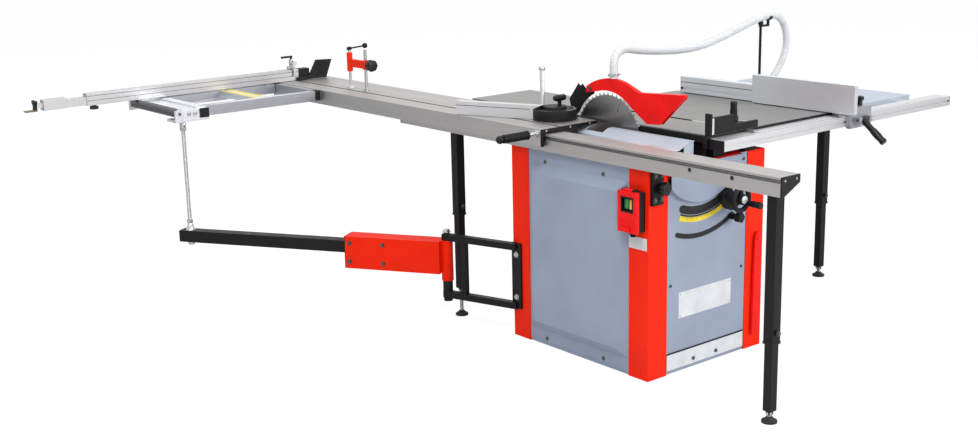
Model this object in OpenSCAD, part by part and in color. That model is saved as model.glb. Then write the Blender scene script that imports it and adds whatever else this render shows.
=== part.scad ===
// Sliding table saw, millimetres, +Z up, +Y along the feed away from the operator,
// +X to the operator's right. The origin is the middle of the cabinet's footprint on the floor.

/* [Cabinet] */
// Cabinet width across the blade
cab_w = 610; // [580:5:660]
// Cabinet depth along the feed
cab_d = 720; // [700:5:760]
// Height of the welded frame
frame_z = 760; // [740:5:764]
// Flange width of a corner post
post_flange = 95; // [60:5:110]
// Sheet thickness of a corner post
post_t = 3; // [2:0.5:5]
// Square tube size of the top ring
ring_size = 40; // [30:1:45]
// Sheet thickness of the panels
panel_t = 2; // [1:0.25:3]
// How far the side panels' fields stand out
field_rise = 28; // [6:1:32]

/* [Tables] */
// Height of the working surface
table_z = 850; // [840:1:880]
// Main table width
table_w = 728; // [640:4:760]
// Main table depth along the feed
table_d = 820; // [780:10:860]
// Main table plate thickness
table_t = 12; // [8:1:16]
// Full depth of the main table's rim
rim_h = 45; // [35:1:50]
// Thickness of the main table's rim
rim_t = 20; // [12:1:30]
// Width of the insert along the blade
insert_w = 18; // [12:1:24]
// Thickness of the insert
insert_t = 4; // [3:0.5:6]
// Length of the right extension
right_ext_w = 548; // [440:4:680]
// Depth of the right extension
right_ext_d = 785; // [700:5:800]
// Length of the rear extension
rear_ext_d = 488; // [350:4:560]
// Width of the rear extension
rear_ext_w = 326; // [250:2:400]
// Sheet depth of the extensions' edges
ext_edge = 35; // [25:1:40]
// Sheet thickness of the extensions
ext_t = 3; // [2:0.5:4]
// Width of the miter slot
slot_w = 19; // [16:0.5:22]
// Depth of the miter slot
slot_h = 8.5; // [6:0.5:9]

/* [Slider] */
// Length of the fixed beam
beam_l = 1980; // [1800:10:2200]
// Front end of the fixed beam
beam_y0 = -930; // [-1000:5:-900]
// Width of the beam's top
beam_w = 90; // [80:1:100]
// Depth of the beam's left side
beam_h = 64; // [58:1:68]
// Depth of the beam's right side
beam_h2 = 26; // [20:1:32]
// Wall of the beam
beam_wall = 5; // [4:0.5:7]
// Length of the sliding carriage
car_l = 1900; // [1890:10:2000]
// Front end of the carriage as photographed
car_y0 = 150; // [100:5:200]
// Thickness of the carriage's box
car_h = 32; // [28:1:33]
// Width of the carriage's box
car_box_w = 180; // [150:1:200]
// Thickness of the lip beside the blade
lip_h = 12; // [8:1:14]
// Depth of the carriage's left skirt
skirt_h = 65; // [50:1:75]
// Thickness of the skirt
skirt_t = 16; // [10:1:18]
// Gap between the runners and the beam
runner_gap = 0.3; // [0.2:0.1:0.6]

/* [Saw unit] */
// Blade diameter
blade_d = 350; // [315:5:360]
// Blade body thickness
blade_t = 2.2; // [1.8:0.1:3]
// Tooth width
kerf = 3.2; // [2.8:0.1:4]
// Tooth count
teeth = 48; // [24:4:72]
// Arbor distance below the table top
arbor_drop = 67; // [62:1:75]
// Arbor shaft diameter
arbor_d = 30; // [25:1:32]
// Flange diameter
flange_d = 70; // [60:1:74]
// Radius of the tilt quadrants
quad_r = 215; // [205:1:225]
// Radius of the handwheel's slot
wheel_r = 265; // [262:1:272]
// Radius of the lock's slot
lock_r = 358; // [345:1:370]
// Handwheel diameter
wheel_d = 100; // [80:5:120]
// Motor diameter
motor_d = 150; // [130:5:170]
// Motor length
motor_l = 165; // [140:5:175]
// Distance from the arbor to the motor's axis
motor_drop = 193; // [185:1:210]
// Pulley diameter
pulley_d = 76; // [60:2:84]
// Diameter of the two lift columns
column_d = 24; // [20:1:26]

/* [Rip fence] */
// Rail length
rail_l = 1389; // [1250:1:1450]
// Rail height
rail_h = 39; // [34:1:42]
// Rail depth
rail_w = 69; // [60:1:80]
// Height of the tall face plate
plate_h = 112; // [90:1:130]
// Length of the tall face plate
plate_l = 480; // [400:5:520]
// Thickness of the tall face plate
plate_t = 22; // [16:1:28]
// Height of the fence profile
profile_h = 67; // [55:1:75]
// Width of the fence profile
profile_w = 38; // [30:1:45]
// Length of the fence profile
profile_l = 845; // [800:5:880]
// Distance from the blade to the face plate
rip_gap = 688; // [640:1:760]

/* [Crosscut] */
// Length of the outrigger's bars
arm_l = 553; // [520:1:580]
// Spread of the outrigger along the feed
arm_d = 390; // [340:5:400]
// Front of the outrigger
arm_y0 = 1640; // [1600:5:1660]
// Roller diameter
roller_d = 36; // [30:1:40]
// Length of the crosscut fence
cross_l = 1058; // [900:2:1100]
// Height of the crosscut fence
cross_h = 52; // [45:1:60]
// Width of the crosscut fence
cross_w = 40; // [34:1:46]
// Wall of the crosscut fence
cross_wall = 3; // [2:0.5:4]

/* [Swing arm] */
// Box height
box_h = 134; // [110:2:134]
// Box width
box_w = 80; // [70:1:90]
// Box length
box_l = 408; // [380:4:440]
// Tube size
tube_s = 50; // [44:1:60]
// Pivot pin diameter
pivot_d = 24; // [20:1:28]

/* [Legs] */
// Sleeve size of the legs
sleeve_s = 38; // [34:1:50]
// Wall of the sleeves
sleeve_t = 3; // [2:0.5:4]
// Gap between a sleeve and its inner leg
leg_gap = 0.3; // [0.2:0.1:0.6]
// Diameter of a foot
foot_d = 50; // [40:1:60]

/* [Hose] */
// Hose diameter over the ribs
hose_d = 32; // [30:1:36]
// Hose bore
hose_bore = 25; // [24:1:26]
// Number of ribs
hose_ribs = 180; // [60:10:200]

/* [Hidden] */
$fn = 48;
eps = 0.01;
fit = 0.05;
gap = 0.3;

hx = cab_w / 2;
hy = cab_d / 2;
in_x = hx - post_t;
in_y = hy - post_t;
ring_z0 = frame_z - ring_size;
panel_in = 7;
field_y = hy - post_flange - 6;

blade_x = -45;
blade_y = 100;
arbor_z = table_z - arbor_drop;
blade_r = blade_d / 2;
table_x0 = blade_x + 7;
table_x1 = table_x0 + table_w;
table_y0 = -378;
table_y1 = table_y0 + table_d;
gauge_x = 176;
gauge_y = -330;

beam_x0 = -325;
beam_x1 = beam_x0 + beam_w;
beam_z1 = table_z - 20;
beam_z0 = beam_z1 - beam_h;
beam_y1 = beam_y0 + beam_l;
beam_heel = 13;
beam_slope = (beam_h - beam_h2) / (beam_w - beam_heel);
function beam_under(x) = beam_z0 + max(0, x - beam_x0 - beam_heel) * beam_slope;

car_x0 = -345;
car_x1 = blade_x - 17;
car_y1 = car_y0 + car_l;
car_z0 = table_z - car_h;
car_roof_z = beam_z1 + 4;

arm_x1 = car_x0;
arm_x0 = arm_x1 - 27 - arm_l;
arm_y1 = arm_y0 + arm_d;
arm_z1 = table_z - 3;
arm_z0 = arm_z1 - 44;
roller_x = arm_x0 - 135;
roller_z = table_z - 2 - roller_d / 2;

cross_x1 = -242;
cross_x0 = cross_x1 - cross_l;
cross_y0 = arm_y1 - 40;
cross_z0 = table_z + 2;

quad_y0 = 298;
quad_y1 = 314;
crank_a = -62;
wheel_x = blade_x + wheel_r * cos(crank_a);
wheel_z = table_z + wheel_r * sin(crank_a);
lock_x = blade_x + lock_r * cos(crank_a);
lock_z = table_z + lock_r * sin(crank_a);
column_x = 20;
column_y = [-20, 220];
motor_z = arbor_z - motor_drop;
pulley_x0 = 72;
pulley_x1 = 98;
mount_x0 = 104;
mount_x1 = 112;

rail_x0 = -21;
rail_y1 = table_y0;
rail_y0 = rail_y1 - rail_w;
rail_z1 = table_z - 10;
rail_z0 = rail_z1 - rail_h;
rip_x = blade_x + rip_gap;
profile_x0 = rip_x + plate_t;
profile_x1 = profile_x0 + profile_w;
profile_y1 = 385;
profile_y0 = profile_y1 - profile_l;
rip_z0 = table_z + 3;
carrier_x0 = rip_x + plate_t + 6;
carrier_x1 = carrier_x0 + 130;

ext_x0 = table_x1;
ext_x1 = ext_x0 + right_ext_w;
ext_y1 = table_y1 - 2;
ext_y0 = ext_y1 - right_ext_d;
rear_x0 = table_x0 + 2;
rear_x1 = rear_x0 + rear_ext_w;
rear_y1 = table_y1 + rear_ext_d;

leg_in = sleeve_s - 2 * sleeve_t - 2 * leg_gap;
leg_x = -275;
legs = [[leg_x, -875, 269], [leg_x - 27, 700, 426], [ext_x1 - 28, 49, 331]];

pivot_x = -411;
pivot_y = 647;
support_x = roller_x + 18;
support_y = arm_y0 - 14;
swing_reach = [support_x - pivot_x, support_y - pivot_y];
swing_a = atan2(swing_reach[1], swing_reach[0]);
swing_l = norm(swing_reach);
carrier_z = arm_z0 - 10;
pivot_z0 = 112;
pivot_z1 = 376;
tube_z = 302;
post_x = ext_x1 + 17;
post_y = ext_y1 + 6;

clamp_x = -222;
clamp_y = 1450;
clamp_reach = 125;
miter_x = -150;
miter_y = 285;
miter_a = 112;
switch_y = -300;
switch_z = 617;

port_x = 150;
port_z = 230;
port_y = 430;
hose_route = [[-45, 72, 1014], [-45, 72, 1052], [-40, 73, 1085], [-12, 81, 1108], [45, 97, 1114],
    [150, 127, 1097], [310, 172, 1077], [480, 220, 1062], [650, 268, 1058], [830, 320, 1071],
    [1030, 376, 1095], [1180, 417, 1114], [1305, 446, 1123], [1395, 460, 1110], [1455, 470, 1062],
    [1477, 474, 990], [1462, 478, 915], [1410, 484, 842], [1320, 490, 775], [1190, 495, 715],
    [1030, 500, 672], [850, 500, 642], [670, 496, 620], [500, 485, 600], [360, 470, 575],
    [260, 452, 532], [195, 438, 475], [160, 431, 415], [150, 430, 360], [150, 430, 298]];

// Helpers
module box(x0, x1, y0, y1, z0, z1) {
    translate([x0, y0, z0]) cube([x1 - x0, y1 - y0, z1 - z0]);
}
module rod_x(x0, x1, y, z, r) {
    translate([x0, y, z]) rotate([0, 90, 0]) cylinder(h = x1 - x0, r = r);
}
module rod_y(y0, y1, x, z, r) {
    translate([x, y1, z]) rotate([90, 0, 0]) cylinder(h = y1 - y0, r = r);
}
module rod_z(z0, z1, x, y, r) {
    translate([x, y, z0]) cylinder(h = z1 - z0, r = r);
}
// A flat outline in X and Z, drawn out along Y
module prism_y(y0, y1) {
    translate([0, y1, 0]) rotate([90, 0, 0]) linear_extrude(y1 - y0) children();
}
// A flat outline in Y and Z, drawn out along X
module prism_x(x0, x1) {
    translate([x0, 0, 0]) rotate([90, 0, 90]) linear_extrude(x1 - x0) children();
}
module prism_z(z0, z1) {
    translate([0, 0, z0]) linear_extrude(z1 - z0) children();
}
module rect(x0, x1, y0, y1) {
    translate([x0, y0]) square([x1 - x0, y1 - y0]);
}
// A sector of a ring about the tilt axis, in X and Z
module tilt_ring(r0, r1, a0, a1) {
    translate([blade_x, table_z]) intersection() {
        difference() {
            circle(r = r1);
            circle(r = r0);
        }
        polygon([[0, 0], 2 * r1 * [cos(a0), sin(a0)], 2 * r1 * [cos((a0 + a1) / 2), sin((a0 + a1) / 2)],
            2 * r1 * [cos(a1), sin(a1)]]);
    }
}
// A slot along an arc about the tilt axis, with round ends
module tilt_slot(r, w, a0, a1) {
    tilt_ring(r - w / 2, r + w / 2, a0, a1);
    for (a = [a0, a1])
        translate([blade_x + r * cos(a), table_z + r * sin(a)]) circle(d = w);
}
// A raised field with sloping edges, standing out towards +Z from 0
module field(w, h, rise, slope) {
    intersection() {
        rotate([90, 0, 0]) translate([0, 0, -h / 2]) linear_extrude(h)
            polygon([[-w / 2, 0], [w / 2, 0], [w / 2 - slope, rise], [slope - w / 2, rise]]);
        rotate([90, 0, 90]) translate([0, 0, -w / 2]) linear_extrude(w)
            polygon([[-h / 2, 0], [h / 2, 0], [h / 2 - slope, rise], [slope - h / 2, rise]]);
    }
}
// A sheet with a hollow raised field, in X and Y, standing out towards +Z
module pressed_sheet(w, h, fw, fh) {
    difference() {
        union() {
            translate([-w / 2, -h / 2, 0]) cube([w, h, panel_t]);
            translate([0, 0, panel_t - eps]) field(fw, fh, field_rise, field_rise * 1.25);
        }
        translate([0, 0, -eps]) field(fw - 2 * panel_t, fh - 2 * panel_t, field_rise, field_rise * 1.25);
    }
}

// Cabinet
module corner_post() {
    box(hx - post_flange, hx, hy - post_t, hy, 0, frame_z);
    box(hx - post_t, hx, hy - post_flange, hy, 0, frame_z);
    box(in_x - panel_in, in_x + eps, in_y - panel_in, in_y + eps, ring_z0, frame_z);
}
module cabinet_frame() color([0.86, 0.23, 0.1]) {
    for (mx = [0, 1])
        for (my = [0, 1])
            mirror([mx, 0, 0]) mirror([0, my, 0]) corner_post();
    difference() {
        box(panel_t - in_x, in_x - panel_t, panel_t - in_y, in_y - panel_t, ring_z0, frame_z);
        box(-in_x + ring_size, in_x - ring_size, -in_y + ring_size, in_y - ring_size,
            ring_z0 - 1, frame_z + 1);
    }
    rod_y(-hy - 16, -hy + 1, 262, 425, 4);
}
panel_h = frame_z - 12;
panel_mid = (frame_z + 12) / 2;
module left_panel() color([0.62, 0.68, 0.74])
    translate([-in_x + panel_t, 0, panel_mid]) rotate([0, -90, 0]) rotate([0, 0, 90])
        pressed_sheet(2 * (in_y - panel_in), panel_h, 2 * field_y, panel_h - 100);
module right_panel() color([0.62, 0.68, 0.74])
    difference() {
        translate([in_x - panel_t, 0, panel_mid]) rotate([0, 90, 0]) rotate([0, 0, 90])
            pressed_sheet(2 * (in_y - panel_in), panel_h, 2 * field_y, panel_h - 100);
        for (k = [0:7])
            box(hx - 20, hx + 40, -120, 120, 180 + 24 * k, 188 + 24 * k);
    }
bulge_r = 232;
bulge_rise = 18;
module bulge_outline(r) {
    intersection() {
        translate([blade_x, table_z]) circle(r = r);
        rect(post_flange - hx + 2, hx - post_flange - 2, 500, frame_z);
    }
}
module front_panel() color([0.62, 0.68, 0.74])
    difference() {
        union() {
            box(panel_in - in_x, in_x - panel_in, -in_y, -in_y + panel_t, 12, frame_z);
            prism_y(-in_y - bulge_rise, -in_y + eps) bulge_outline(bulge_r);
        }
        prism_y(-in_y - bulge_rise + panel_t, -in_y + panel_t + 1)
            bulge_outline(bulge_r - panel_t);
        prism_y(-in_y - 1, -in_y + panel_t + 1) {
            tilt_slot(wheel_r, 26, crank_a + 3, crank_a - 48);
            tilt_slot(lock_r, 14, crank_a + 2, crank_a - 47);
        }
    }
module rear_panel() color([0.62, 0.68, 0.74])
    difference() {
        box(panel_in - in_x, in_x - panel_in, in_y - panel_t, in_y, 12, frame_z);
        rod_y(in_y - 10, in_y + 10, port_x, port_z, 48);
    }
tray_x = in_x - panel_t;
tray_y = in_y - panel_t;
module base_tray() color([0.3, 0.31, 0.33])
    difference() {
        box(-tray_x, tray_x, -tray_y, tray_y, 0, 60);
        box(-tray_x + panel_t, tray_x - panel_t, -tray_y + panel_t, tray_y - panel_t, panel_t, 61);
    }

// Tables
insert_lip = 26;
module lug_outline() {
    difference() {
        union() {
            intersection() {
                rect(-60, 215, table_z - 260, table_z - table_t + eps);
                translate([blade_x, table_z]) circle(r = quad_r + 33);
            }
            rect(172, 215, 720, table_z - table_t + eps);
        }
        translate([blade_x, table_z]) circle(r = quad_r + gap);
    }
}
module main_table() color([0.42, 0.43, 0.44])
    difference() {
        union() {
            box(table_x0, table_x1, table_y0, table_y1, table_z - table_t, table_z);
            for (y = [table_y0, table_y1 - rim_t])
                box(table_x0, table_x1, y, y + rim_t, table_z - rim_h, table_z - 1);
            box(table_x1 - rim_t, table_x1, table_y0, table_y1, table_z - rim_h, table_z - 1);
            box(300, 312, table_y0 + 1, table_y1 - 1, table_z - rim_h, table_z - 1);
            for (s = [-1, 1])
                for (x = [30, 200])
                    box(x, x + 60, s > 0 ? in_y - 36 : -in_y + 4, s > 0 ? in_y - 4 : -in_y + 36,
                        frame_z, table_z - 1);
            prism_y(quad_y0, quad_y1) lug_outline();
            prism_y(-quad_y1, -quad_y0) lug_outline();
        }
        box(gauge_x - slot_w / 2, gauge_x + slot_w / 2, table_y0 - 1, table_y1 + 1,
            table_z - slot_h, table_z + 1);
        box(table_x0 - 1, table_x0 + insert_w, table_y0 - 1, table_y1 + 1, table_z - insert_t, table_z + 1);
        box(table_x0 - 1, table_x0 + insert_t, table_y0 - 1, table_y1 + 1, table_z - insert_lip, table_z);
    }
module table_insert() color([0.08, 0.08, 0.09]) {
    box(table_x0, table_x0 + insert_w, table_y0, table_y1, table_z - insert_t, table_z);
    box(table_x0, table_x0 + insert_t, table_y0, table_y1, table_z - insert_lip, table_z - eps);
}
strip_x1 = blade_x - 21;
strip_z0 = beam_z1 - 20;
strip_z1 = table_z - lip_h - 5;
strip_bend = [car_x0 + car_box_w + 23, strip_x1 - 26];
strip_t = 2;
strip_slope = (strip_z1 - strip_z0) / (strip_bend[1] - strip_bend[0]);
strip_leg_x = strip_bend[0] + 24;
module cover_strip() color([0.62, 0.68, 0.74])
    difference() {
        union() {
            prism_y(table_y0 + 28, table_y1)
                polygon([[beam_x1, strip_z0], [strip_bend[0], strip_z0], [strip_bend[1], strip_z1],
                    [strip_x1, strip_z1], [strip_x1, strip_z1 + strip_t], [strip_bend[1], strip_z1 + strip_t],
                    [strip_bend[0], strip_z0 + strip_t], [beam_x1, strip_z0 + strip_t]]);
            for (y = [-in_y + 10, in_y - 12])
                prism_y(y, y + strip_t)
                    polygon([[strip_leg_x, frame_z], [strip_x1 - 2, frame_z], [strip_x1 - 2, strip_z1 + 1],
                        [strip_bend[1], strip_z1 + 1], [strip_leg_x, strip_z0 + 24 * strip_slope + 1]]);
        }
        box(strip_bend[1] - 28, strip_x1 + 1, blade_y - 44, blade_y + 44, frame_z, table_z);
    }
module edged_sheet(x0, x1, y0, y1) {
    difference() {
        box(x0, x1, y0, y1, table_z - ext_edge, table_z);
        box(x0 + ext_t, x1 - ext_t, y0 + ext_t, y1 - ext_t, table_z - ext_edge - 1, table_z - ext_t);
    }
}
module rear_extension() color([0.6, 0.6, 0.6])
    edged_sheet(rear_x0, rear_x1, table_y1, rear_y1);
module right_extension() color([0.78, 0.79, 0.8]) {
    edged_sheet(ext_x0, ext_x1, ext_y0, ext_y1);
    for (x = [ext_x0 + 60, ext_x1 - 120])
        box(x, x + 60, rail_y1, ext_y0 + 1, rail_z0 + 6, rail_z1 - 2);
}
module rip_rail() color([0.75, 0.76, 0.77])
    difference() {
        box(rail_x0, rail_x0 + rail_l, rail_y0, rail_y1, rail_z0, rail_z1);
        box(rail_x0 - 1, rail_x0 + rail_l + 1, rail_y0 + 12, rail_y1 - 5, rail_z0 + 5, rail_z1 - 5);
        box(rail_x0 - 1, rail_x0 + rail_l + 1, rail_y0 - 1, rail_y0 + 6, rail_z0 + 16, rail_z0 + 22);
    }

// Fixed beam
module beam_outline() {
    polygon([[beam_x0, beam_z0], [beam_x0 + beam_heel, beam_z0], [beam_x1, beam_z1 - beam_h2],
        [beam_x1, beam_z1], [beam_x0, beam_z1]]);
}
module beam_hollow() {
    x0 = beam_x0 + beam_heel + 7;
    x1 = beam_x1 - beam_wall - 3;
    z1 = beam_z1 - beam_wall - 3;
    polygon([[x0, beam_under(x0) + beam_wall], [x1, beam_under(x1) + beam_wall - 1], [x1, z1], [x0, z1]]);
}
module beam_rail() color([0.7, 0.71, 0.72])
    prism_y(beam_y0, beam_y1) difference() {
        beam_outline();
        beam_hollow();
        rect(beam_x0 - 1, beam_x0 + 12, beam_z1 - 14, beam_z1 - 8);
    }
module beam_caps() color([0.1, 0.1, 0.11]) {
    prism_y(beam_y0 - 6, beam_y0) beam_outline();
    prism_y(beam_y1, beam_y1 + 6) beam_outline();
}
module beam_brackets() color([0.1, 0.1, 0.11]) {
    x0 = -in_x + 3;
    x1 = beam_x1 - 3;
    for (y = [-in_y, in_y - ring_size])
        prism_y(y, y + ring_size)
            polygon([[x0, frame_z], [x1, frame_z], [x1, beam_under(x1)], [x0, beam_under(x0)]]);
    box(x0, x1 - 8, -hy - 14, -hy, 640, beam_under(x0) - 1);
    rod_y(-hy - 20, -hy - 13, -265, 700, 9);
    rod_y(-hy - 48, -hy - 20, -265, 700, 20);
}

// Legs
module leg_bore(p, z0, z1) {
    b = sleeve_s / 2 - sleeve_t;
    box(p[0] - b, p[0] + b, p[1] - b, p[1] + b, z0, z1);
}
module leg_sleeves() color([0.07, 0.07, 0.08]) {
    for (k = [0, 1]) {
        p = legs[k];
        x0 = p[0] - sleeve_s / 2;
        x1 = p[0] + sleeve_s / 2;
        heel = max(x0 + 1, beam_x0 + beam_heel);
        difference() {
            prism_y(p[1] - sleeve_s / 2, p[1] + sleeve_s / 2)
                polygon([[x0, p[2]], [x1, p[2]], [x1, beam_under(x1)], [heel, beam_under(heel)],
                    [x0, beam_under(x0)]]);
            leg_bore(p, p[2] - 1, beam_z0 - 20);
        }
    }
    r = legs[2];
    difference() {
        box(r[0] - sleeve_s / 2, r[0] + sleeve_s / 2, r[1] - sleeve_s / 2, r[1] + sleeve_s / 2,
            r[2], table_z - ext_t);
        leg_bore(r, r[2] - 1, table_z - 80);
    }
    for (p = legs)
        rod_y(p[1] - sleeve_s / 2 - 12, p[1] - sleeve_s / 2, p[0], p[2] + 40, 7);
}
module inner_leg(p, bottom) {
    h = leg_in / 2;
    box(p[0] - h, p[0] + h, p[1] - h, p[1] + h, bottom, p[2] + 150);
    rod_z(7, bottom + 1, p[0], p[1], 7);
    rod_z(0, 8, p[0], p[1], foot_d / 2);
    rod_z(bottom - 12, bottom, p[0], p[1], 12);
}
module leg_front() color([0.07, 0.07, 0.08]) inner_leg(legs[0], 40);
module leg_left() color([0.07, 0.07, 0.08]) inner_leg(legs[1], 117);
module leg_right() color([0.07, 0.07, 0.08]) inner_leg(legs[2], 45);

// Switch
box_x = -hx;
button_dy = 12;
hinge_x = box_x - 39;
hinge_z = switch_z + 77;
module switch_box() color([0.09, 0.09, 0.1]) {
    difference() {
        box(box_x - 32, box_x, switch_y - 43, switch_y + 43, switch_z - 70, switch_z + 70);
        for (dy = [-button_dy, button_dy])
            box(box_x - 33, box_x - 14, switch_y + dy - 10, switch_y + dy + 10, switch_z + 8, switch_z + 44);
    }
    for (y = [switch_y - 30, switch_y + 22]) {
        box(box_x - 32, box_x - 20, y, y + 8, switch_z + 60, hinge_z + 4);
        box(hinge_x - 1.5, box_x - 20, y, y + 8, hinge_z - 3.4, hinge_z + 4);
    }
    rod_y(switch_y - 30, switch_y + 30, hinge_x, hinge_z, 3);
}
module switch_cover() color([0.82, 0.1, 0.08])
    difference() {
        union() {
            box(box_x - 46, box_x - 32 - gap, switch_y - 46, switch_y + 46, switch_z - 73, switch_z + 73);
            rod_y(switch_y - 21, switch_y + 21, hinge_x, hinge_z, 5.5);
            box(box_x - 54, box_x - 45, switch_y - 18, switch_y + 18, switch_z - 66, switch_z - 54);
        }
        box(box_x - 47, box_x - 30, switch_y - 26, switch_y + 26, switch_z + 3, switch_z + 50);
        box(box_x - 42, box_x - 30, switch_y - 40, switch_y + 40, switch_z - 66, switch_z + 66);
        rod_y(switch_y - 22, switch_y + 22, hinge_x, hinge_z, 3 + fit);
    }
module push_button(dy)
    box(box_x - 36, box_x - 20, switch_y + dy - 9.6, switch_y + dy + 9.6, switch_z + 8.4, switch_z + 43.6);
module start_button() color([0.1, 0.55, 0.2]) push_button(button_dy);
module stop_button() color([0.95, 0.75, 0.1]) push_button(-button_dy);

// Dust extraction
saddle_x = 1296;
saddle_z = 1123;
module hose_post() color([0.1, 0.1, 0.11]) {
    box(ext_x1, post_x + 10, post_y - 36, post_y + 12, table_z - 32, table_z - 12);
    rod_z(table_z - 40, 1086, post_x, post_y, 6);
    rod_x(min(post_x - 8, saddle_x + 4), max(post_x + 8, saddle_x + 16), post_y, 1080, 5);
    box(saddle_x + 4, saddle_x + 16, post_y - 4, post_y + 4, 1078, saddle_z - hose_d / 2 - 1);
    prism_x(saddle_x, saddle_x + 20) difference() {
        translate([post_y, saddle_z]) circle(d = hose_d + 9);
        translate([post_y, saddle_z]) circle(d = hose_d + 1.4);
        rect(post_y - 60, post_y + 60, saddle_z - 2, saddle_z + 60);
    }
}
module dust_port() color([0.12, 0.12, 0.13])
    difference() {
        union() {
            box(port_x - 58, port_x + 58, in_y, in_y + 4, port_z - 58, port_z + 58);
            rod_y(in_y - 6, in_y + 110, port_x, port_z, 47.7);
            rod_z(port_z, 330, port_x, port_y, hose_bore / 2 - 0.5);
        }
        rod_y(in_y - 7, in_y + 111, port_x, port_z, 44);
        rod_z(port_z, 331, port_x, port_y, hose_bore / 2 - 3);
    }
// Points of the smooth curve through the route
function unit(v) = v / norm(v);
function catmull(a, b, c, d, t) = 0.5 * (2 * b + (c - a) * t + (2 * a - 5 * b + 4 * c - d) * t * t
    + (3 * b - a - 3 * c + d) * t * t * t);
function along(s) = let (n = len(hose_route) - 1, k = min(floor(s), n - 1), t = s - k,
    b = hose_route[k], c = hose_route[k + 1],
    a = k > 0 ? hose_route[k - 1] : 2 * b - c,
    d = k < n - 1 ? hose_route[k + 2] : 2 * c - b) catmull(a, b, c, d, t);
fine = [for (s = [0:1 / 16:len(hose_route) - 1 + eps / 10]) along(min(s, len(hose_route) - 1))];
function lengths(k, so_far) = k >= len(fine) - 1 ? [so_far]
    : concat([so_far], lengths(k + 1, so_far + norm(fine[k + 1] - fine[k])));
fine_at = lengths(0, 0);
hose_l = fine_at[len(fine_at) - 1];
function seek(l, lo, hi) = hi - lo <= 1 ? lo
    : let (m = floor((lo + hi) / 2)) fine_at[m] <= l ? seek(l, m, hi) : seek(l, lo, m);
function at_length(l) = let (k = seek(l, 0, len(fine) - 1),
    t = (l - fine_at[k]) / (fine_at[k + 1] - fine_at[k])) fine[k] + t * (fine[k + 1] - fine[k]);
function heading(l) = unit(at_length(min(l + 2, hose_l - eps)) - at_length(max(l - 2, 0)));
function hose_ring(l, r, sides) = let (p = at_length(min(l, hose_l - eps)), d = heading(l),
    u = unit(cross(d, [0, 1, 0])), v = cross(d, u))
    [for (k = [0:sides - 1]) p + r * (cos(360 * k / sides) * u + sin(360 * k / sides) * v)];
hose_sides = 8;
outer_rings = 2 * hose_ribs;
inner_rings = hose_ribs / 2;
function band(a, b, flip) = [for (k = [0:hose_sides - 1]) let (m = (k + 1) % hose_sides)
    each flip ? [[a + k, b + k, b + m], [a + k, b + m, a + m]]
        : [[a + k, b + m, b + k], [a + k, a + m, b + m]]];
module hose() color([0.9, 0.91, 0.92]) {
    outer = [for (k = [0:outer_rings - 1])
        each hose_ring(hose_l * k / (outer_rings - 1), k % 2 == 0 ? hose_d / 2 : hose_d / 2 - 1.2,
            hose_sides)];
    inner = [for (k = [0:inner_rings - 1])
        each hose_ring(hose_l * k / (inner_rings - 1), hose_bore / 2 + 1.3, hose_sides)];
    base = len(outer);
    last = len(outer) - hose_sides;
    polyhedron(concat(outer, inner), concat(
        [for (k = [0:outer_rings - 2]) each band(k * hose_sides, (k + 1) * hose_sides, false)],
        [for (k = [0:inner_rings - 2])
            each band(base + k * hose_sides, base + (k + 1) * hose_sides, true)],
        band(0, base, true),
        band(last, base + len(inner) - hose_sides, false)));
}
probe = [for (k = [0:79]) at_length(hose_l * k / 79.01)];
hose_gap = min([for (i = [0:79]) for (j = [i + 8:79]) if (j <= 79) norm(probe[i] - probe[j])]) - hose_d;
echo(hose_length = hose_l, hose_least_self_gap = hose_gap);

// Push stick
module push_stick() color([0.85, 0.12, 0.08])
    difference() {
        prism_y(-hy - 13, -hy - 4)
            polygon([[243, 50], [268, 60], [272, 300], [282, 400], [286, 445], [262, 452], [250, 430],
                [246, 300]]);
        rod_y(-hy - 20, -hy, 262, 425, 4.4);
    }

// Swing arm support
module along_arm(a) translate([pivot_x, pivot_y, 0]) rotate([0, 0, a]) children();
module swing_bracket() color([0.08, 0.08, 0.09]) {
    box(-hx - 8, -hx, hy - 50, hy + 2, pivot_z0 + 4, pivot_z1 + 2);
    reach = [pivot_x + hx + 4, pivot_y - hy + 24];
    reach_a = atan2(reach[1], reach[0]);
    reach_l = norm(reach);
    for (z = [pivot_z0, pivot_z1 - 26])
        difference() {
            translate([-hx - 4, hy - 24, z]) rotate([0, 0, reach_a])
                translate([0, -14, 0]) cube([reach_l + 16, 28, 26]);
            box(-hx, 0, 0, hy, 0, 400);
        }
    translate([-hx - 4, hy - 24, pivot_z0]) rotate([0, 0, reach_a])
        translate([reach_l - 95, -12, 2]) cube([24, 24, pivot_z1 - pivot_z0 - 4]);
    rod_z(pivot_z0 + 1, pivot_z1 + 8, pivot_x, pivot_y, pivot_d / 2);
    rod_z(pivot_z0 - 14, pivot_z0 + 1, pivot_x, pivot_y, 18);
    rod_z(pivot_z0 + 25, pivot_z0 + 72, pivot_x, pivot_y, 20);
}
barrel_z0 = pivot_z0 + 72 + gap;
barrel_z1 = pivot_z1 - 26 - gap;
box_r0 = 20;
box_z0 = barrel_z1 - box_h;
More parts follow.
